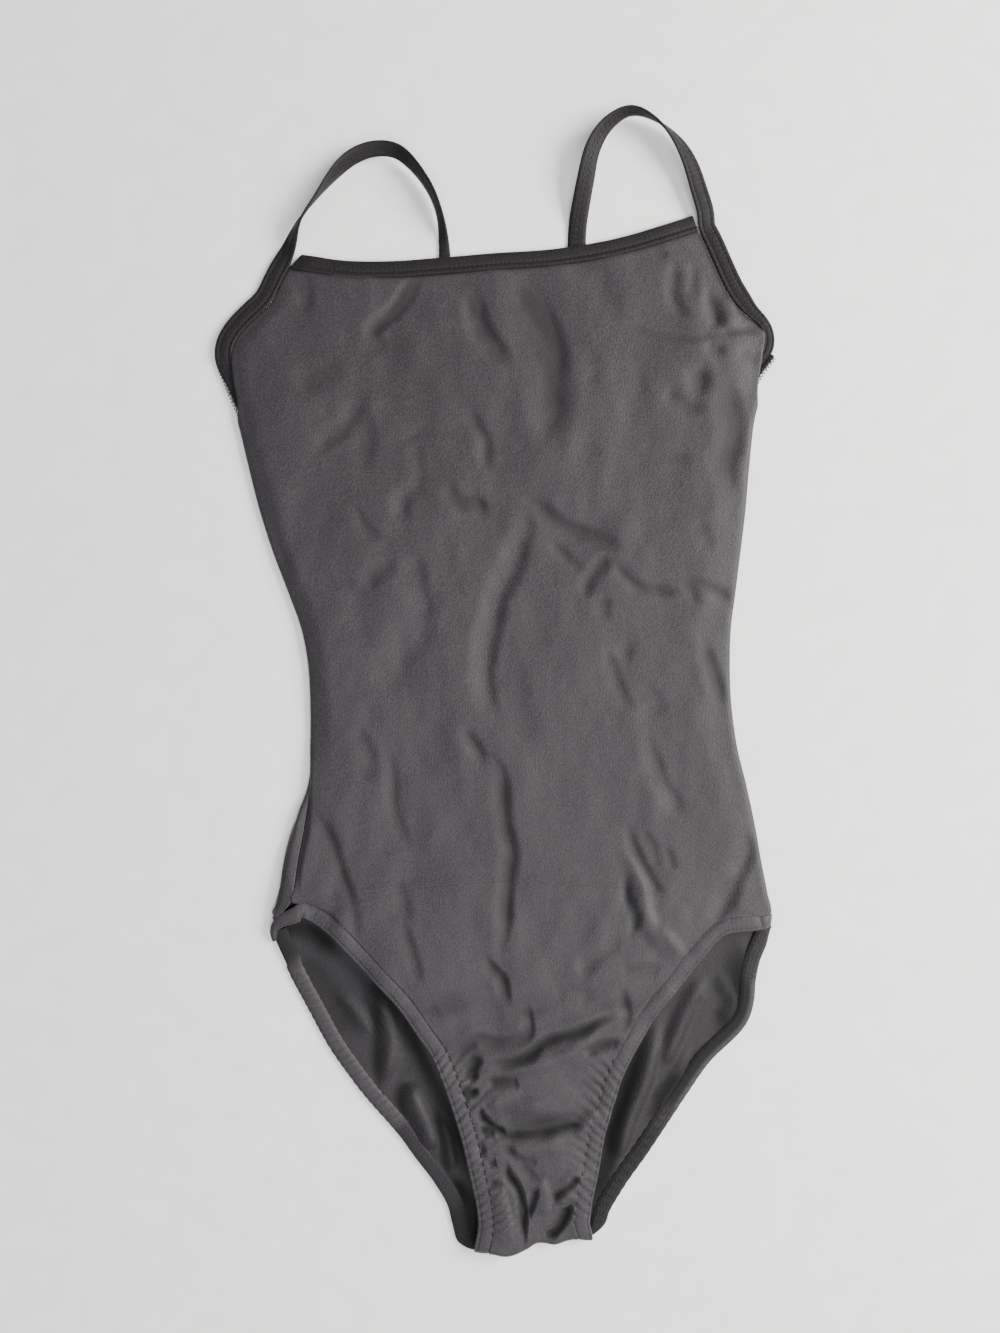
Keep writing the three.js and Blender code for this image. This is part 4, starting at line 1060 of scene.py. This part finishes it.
binding_knit = knit("binding_knit", (0.0104, 0.0088, 0.0098), sheen=0.03, shine=0.15)
binding_thread = thread("binding_thread", (0.006, 0.005, 0.0055, 1), (0.016, 0.014, 0.015, 1))
neck_binding = strip_piece("neck_binding_fold", neck_frames, NECK_BINDING, binding_knit, stitch_pucker)
neck_stitches = stitch_piece(
    "neck_binding_stitches", [(neck_frames, NECK_GROOVE, 0.72, BINDING_STITCH)], binding_thread
)
for piece in (neck_binding, neck_stitches):
    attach(piece, "root")
    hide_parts("neck_binding")


# Armhole bindings and shoulder straps
# Each armhole's binding runs on past the neckline as the shoulder strap: the same folded strip
# of knit over elastic, with a stitched ridge on its inner edge and zigzag on its inner face. The
# strap stands on edge in a loose loop, then dives under the front to the back scoop.

STRAP_WIDTH = 11
LEFT_STRAP = [
    (-125, 261, 3.6, 25, 1), (-119, 276, 6.0, 64, 1), (-108, 291, 6.8, 80, 1), (-98, 304, 7.0, 104, 1),
    (-87, 314.5, 7.0, 132, 0.9), (-74, 320, 6.8, 148, 0.85), (-60, 319, 6.8, 138, 0.85),
    (-49, 309.5, 7.0, 116, 0.9), (-39, 295, 6.6, 108, 0.9), (-33.8, 281, 5.4, 112, 0.75),
    (-32, 271, 2.8, 140, 0.62), (-31.2, 262, 0.9, 179, 0.6), (-30.2, 240, 0.9, 180, 0.8),
    (-29, 190, 1.0, 180, 1), (-28, 135, 1.0, 180, 1), (-26.4, 86, 1.0, 180, 1),
]
RIGHT_STRAP = [
    (127, 280, 3.6, 8, 1), (122, 296, 5.0, 10, 1), (116, 313, 6.6, 24, 1), (107, 327, 8.0, 48, 1),
    (95, 337, 9.0, 74, 1), (81, 342, 9.6, 96, 1), (67, 334, 9.6, 122, 1), (58, 320, 9.0, 146, 1),
    (53.4, 300, 7.4, 166, 1), (50.8, 286, 4.0, 174, 1), (49.4, 277, 1.4, 180, 1), (48.8, 267, 0.9, 180, 1),
    (48.8, 244, 0.9, 180, 1), (49, 192, 1.0, 180, 1), (49.2, 138, 1.0, 180, 1), (49.4, 96, 1.0, 180, 1),
]
INNER_GROOVE, OUTER_GROOVE = 2.5, 8.15
STRAP_FOLD = [
    (0.0, 0.1), (0.2, 0.62), (0.8, 0.95), (1.6, 0.98), (2.2, 0.72), (INNER_GROOVE, 0.45), (2.85, 0.64),
    (4.4, 0.76), (6.6, 0.72), (7.8, 0.6), (OUTER_GROOVE, 0.44), (8.5, 0.62), (9.6, 0.74), (10.6, 0.5),
    (11.0, 0.0),
    (10.7, -0.55), (8.4, -0.72), (5.4, -0.66), (2.4, -0.72), (0.3, -0.5),
]


def centripetal(points, stops):
    """A smooth curve through the points that doesn't swing wide where they are uneven."""
    points = np.asarray(points, float)
    at = stops * (len(points) - 1)
    k = np.minimum(at.astype(int), len(points) - 2)
    w = (at - k)[:, None]
    padded = np.concatenate([[2 * points[0] - points[1]], points, [2 * points[-1] - points[-2]]])
    before, here, after, beyond = (padded[k + n] for n in range(4))
    gaps = [np.linalg.norm(b - a, axis=1)[:, None] ** 0.5 for a, b in
            ((before, here), (here, after), (after, beyond))]
    leave = (here - before) / gaps[0] - (after - before) / (gaps[0] + gaps[1]) + (after - here) / gaps[1]
    meet = (after - here) / gaps[1] - (beyond - here) / (gaps[1] + gaps[2]) + (beyond - after) / gaps[2]
    leave, meet = leave * gaps[1], meet * gaps[1]
    cubic = 2 * here - 2 * after + leave + meet
    square = 3 * after - 3 * here - 2 * leave - meet
    return cubic * w**3 + square * w**2 + leave * w + here


def strap_frames(armhole, rows, outward):
    points, outs, normals = (part[::-1] for part in armhole)
    middle = points[-1] + outs[-1] * (SEAM + STRAP_WIDTH / 2)
    rows = np.array(rows, float)
    stops = np.linspace(0, 1, 240)
    loop = centripetal(np.concatenate([[middle], rows[:, :3]]), stops)
    turns, widths = smooth_rows([(0, 1), *rows[:, 3:]], stops * len(rows)).T[..., None]
    turns = np.radians(turns)
    run = unit(np.gradient(loop, axis=0))
    side = unit(np.cross((0, 0, 1), run)) * outward
    rise = unit(np.cross(side, run))
    rise = np.where(rise[:, 2:] < 0, -rise, rise)
    out = (side * np.cos(turns) - rise * np.sin(turns)) * widths
    normal = rise * np.cos(turns) + side * np.sin(turns)
    edge = loop - out * (SEAM + STRAP_WIDTH / 2)
    return (
        np.concatenate([points, edge[1:]]),
        np.concatenate([outs, out[1:]]),
        np.concatenate([normals, normal[1:]]),
    )


def shifted(frames, out):
    points, outs, normals = frames
    return points + outs * out, outs, normals


TUCK_ROWS = 2 * TOP_ROWS
TUCK_IN = 11.5
TUCK_DOWN = 2.3
STRAP_EASING = 36


def tucked(frames, late, over, slim):
    """Below the underarm an armhole's binding turns in and down, under the panel's edge. Slim is
    the share of its width that is lost where it turns on edge."""
    points, outs, normals = frames
    run = run_of(points) - run_of(points)[UNDERARM_ROW]
    sunk = ease((run + 4) / 12)[:, None] * (0, 0, TUCK_DOWN)
    tuck = outs * TUCK_IN * ease((run - late) / over)[:, None]
    return points - sunk - tuck, outs * (1 - slim * ease((run + 26) / 24))[:, None], normals


# Each strap's side, its column of the front, its tuck, its loop, its way out, its length in metres
straps = [
    ("left", 0, (0, 36, 0), LEFT_STRAP, 1, 0.42),
    ("right", -1, (12, 13, 0.4), RIGHT_STRAP, -1, 0.45),
]
for side, column, tuck, rows, outward, length in straps:
    armhole = tucked(side_edge(front_plain, column, 0, UNDERARM_ROW + TUCK_ROWS), *tuck)
    frames = evened(shifted(strap_frames(armhole, rows, outward), SEAM), STRIP_STEP)
    frames = eased(frames, STRAP_EASING)
    strap = strip_piece(f"strap_{side}_fold", frames, STRAP_FOLD, binding_knit, stitch_pucker)
    grooves = [(INNER_GROOVE, 0.56, BINDING_STITCH), (OUTER_GROOVE, 0.54, BINDING_STITCH)]
    outer = stitch_piece(f"strap_{side}_stitches", [(frames, *row) for row in grooves], binding_thread)
    backs = [(4.2, -0.76, 1.9), (6.6, -0.76, 1.9)]
    inner = stitch_piece(
        f"strap_{side}_zigzag", [(frames, *row) for row in backs], binding_thread,
        size=(2.8, 0.4, 0.3), slope=0.75,
    )
    for piece in (strap, outer, inner):
        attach(piece, "root")
        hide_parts(f"strap_{side}")


# Back scoop binding
# The same folded strip along the low back, under the front. Its two ends come round the
# underarms, where the overlocked seam ends stick out in short loops of thread.

END_HEIGHT = 0.7
SCOOP_LEFT_END = [(-168.6, 197), (-166.4, 188), (-160.6, 174), (-153.6, 158)]
SCOOP_RIGHT_END = [(150, 165), (154.8, 177), (161, 187), (168.4, 196.5)]
SCOOP_SKIP = 6
BACK_GROOVE = 2.9
BACK_FOLD = [
    (0.0, 0.5), (0.4, 1.1), (1.4, 1.35), (2.4, 1.1), (BACK_GROOVE, 0.8), (3.3, 1.05), (5.4, 1.25),
    (7.6, 1.15), (9.1, 0.8), (9.6, 0.2), (9.3, -0.35), (6, -0.58), (3, -0.58), (0.2, -0.3),
]

scoop = edge_frames(back_plain[0], grid_normals(back_plain)[0], (0, 1, 0))
scoop = tuple(part[SCOOP_SKIP:-SCOOP_SKIP] for part in scoop)
underarm_ends = [
    turned_frames([(x, y, END_HEIGHT) for x, y in places], -1)
    for places in (SCOOP_LEFT_END, SCOOP_RIGHT_END)
]
back_parts = [underarm_ends[0], scoop, underarm_ends[1]]
back_frames = evened(shifted([np.concatenate(parts) for parts in zip(*back_parts)], SEAM), 1.0)
back_binding = strip_piece("back_binding_fold", back_frames, BACK_FOLD, binding_knit, stitch_pucker)
back_stitches = stitch_piece(
    "back_binding_stitches", [(back_frames, BACK_GROOVE, 0.9, BINDING_STITCH)], binding_thread
)

OVERLOCK = [(-0.4, 0.9, 1.1), (0.6, 1.5, 1.3), (2.0, 1.8, 1.5)]
overlock_rows = [(ends, *row) for ends in underarm_ends for row in OVERLOCK]
overlock = stitch_piece(
    "underarm_overlock", overlock_rows, binding_thread, size=(3.4, 0.5, 0.5), slope=1.15
)
for piece in (back_binding, back_stitches, overlock):
    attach(piece, "root")
    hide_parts("back_binding")


# Table, light and camera
# A plain pale table top, a broad soft window light low from the right, and a camera straight
# above the garment.

table_shape = bmesh.new()
bmesh.ops.create_grid(table_shape, x_segments=8, y_segments=8, size=1.6)
table_cloth = Shade("pale_table")
spread = table_cloth.node("ShaderNodeTexCoord", output="Object")
mottle = table_cloth.node("ShaderNodeTexNoise", (), {"Vector": spread, "Scale": 55.0, "Detail": 5.0})
table_cloth.feed(
    table_cloth.surface.inputs["Base Color"],
    table_cloth.mix(mottle, (0.73, 0.722, 0.7, 1), (0.86, 0.852, 0.828, 1)),
)
table_cloth.feed(table_cloth.surface.inputs["Roughness"], 0.85 + mottle * 0.1)
mesh_piece("table", table_shape, table_cloth.material)

LOOK_AT = Vector((0.0024, 0.0096, 0.006))
CAMERA_HEIGHT = 0.72
FRAME_LENGTH = 0.8
SENSOR = 36

camera = bpy.data.cameras.new("camera")
camera.sensor_fit = "VERTICAL"
camera.sensor_height = SENSOR
camera.lens = SENSOR * CAMERA_HEIGHT / FRAME_LENGTH
camera.clip_start = 0.01
viewer = placed("camera", camera)
viewer.location = LOOK_AT + Vector((0, 0, CAMERA_HEIGHT))
bpy.context.scene.camera = viewer


def window(name, place, size, power, colour):
    light = bpy.data.lights.new(name, "AREA")
    light.shape = "RECTANGLE"
    light.size, light.size_y = size
    light.energy = power
    light.color = colour
    holder = placed(name, light)
    holder.location = place
    holder.rotation_euler = (LOOK_AT - Vector(place)).to_track_quat("-Z", "Y").to_euler()


window("window_right", (1.5, 0.35, 0.85), (1.3, 0.8), 94, (1.0, 0.985, 0.965))
window("sky_above", (0.35, -0.9, 2.0), (1.8, 1.8), 62, (0.97, 0.985, 1.0))

world = bpy.data.worlds.new("room")
world.use_nodes = True
world.node_tree.nodes["Background"].inputs["Color"].default_value = (0.9, 0.93, 1.0, 1)
world.node_tree.nodes["Background"].inputs["Strength"].default_value = 0.4
bpy.context.scene.world = world
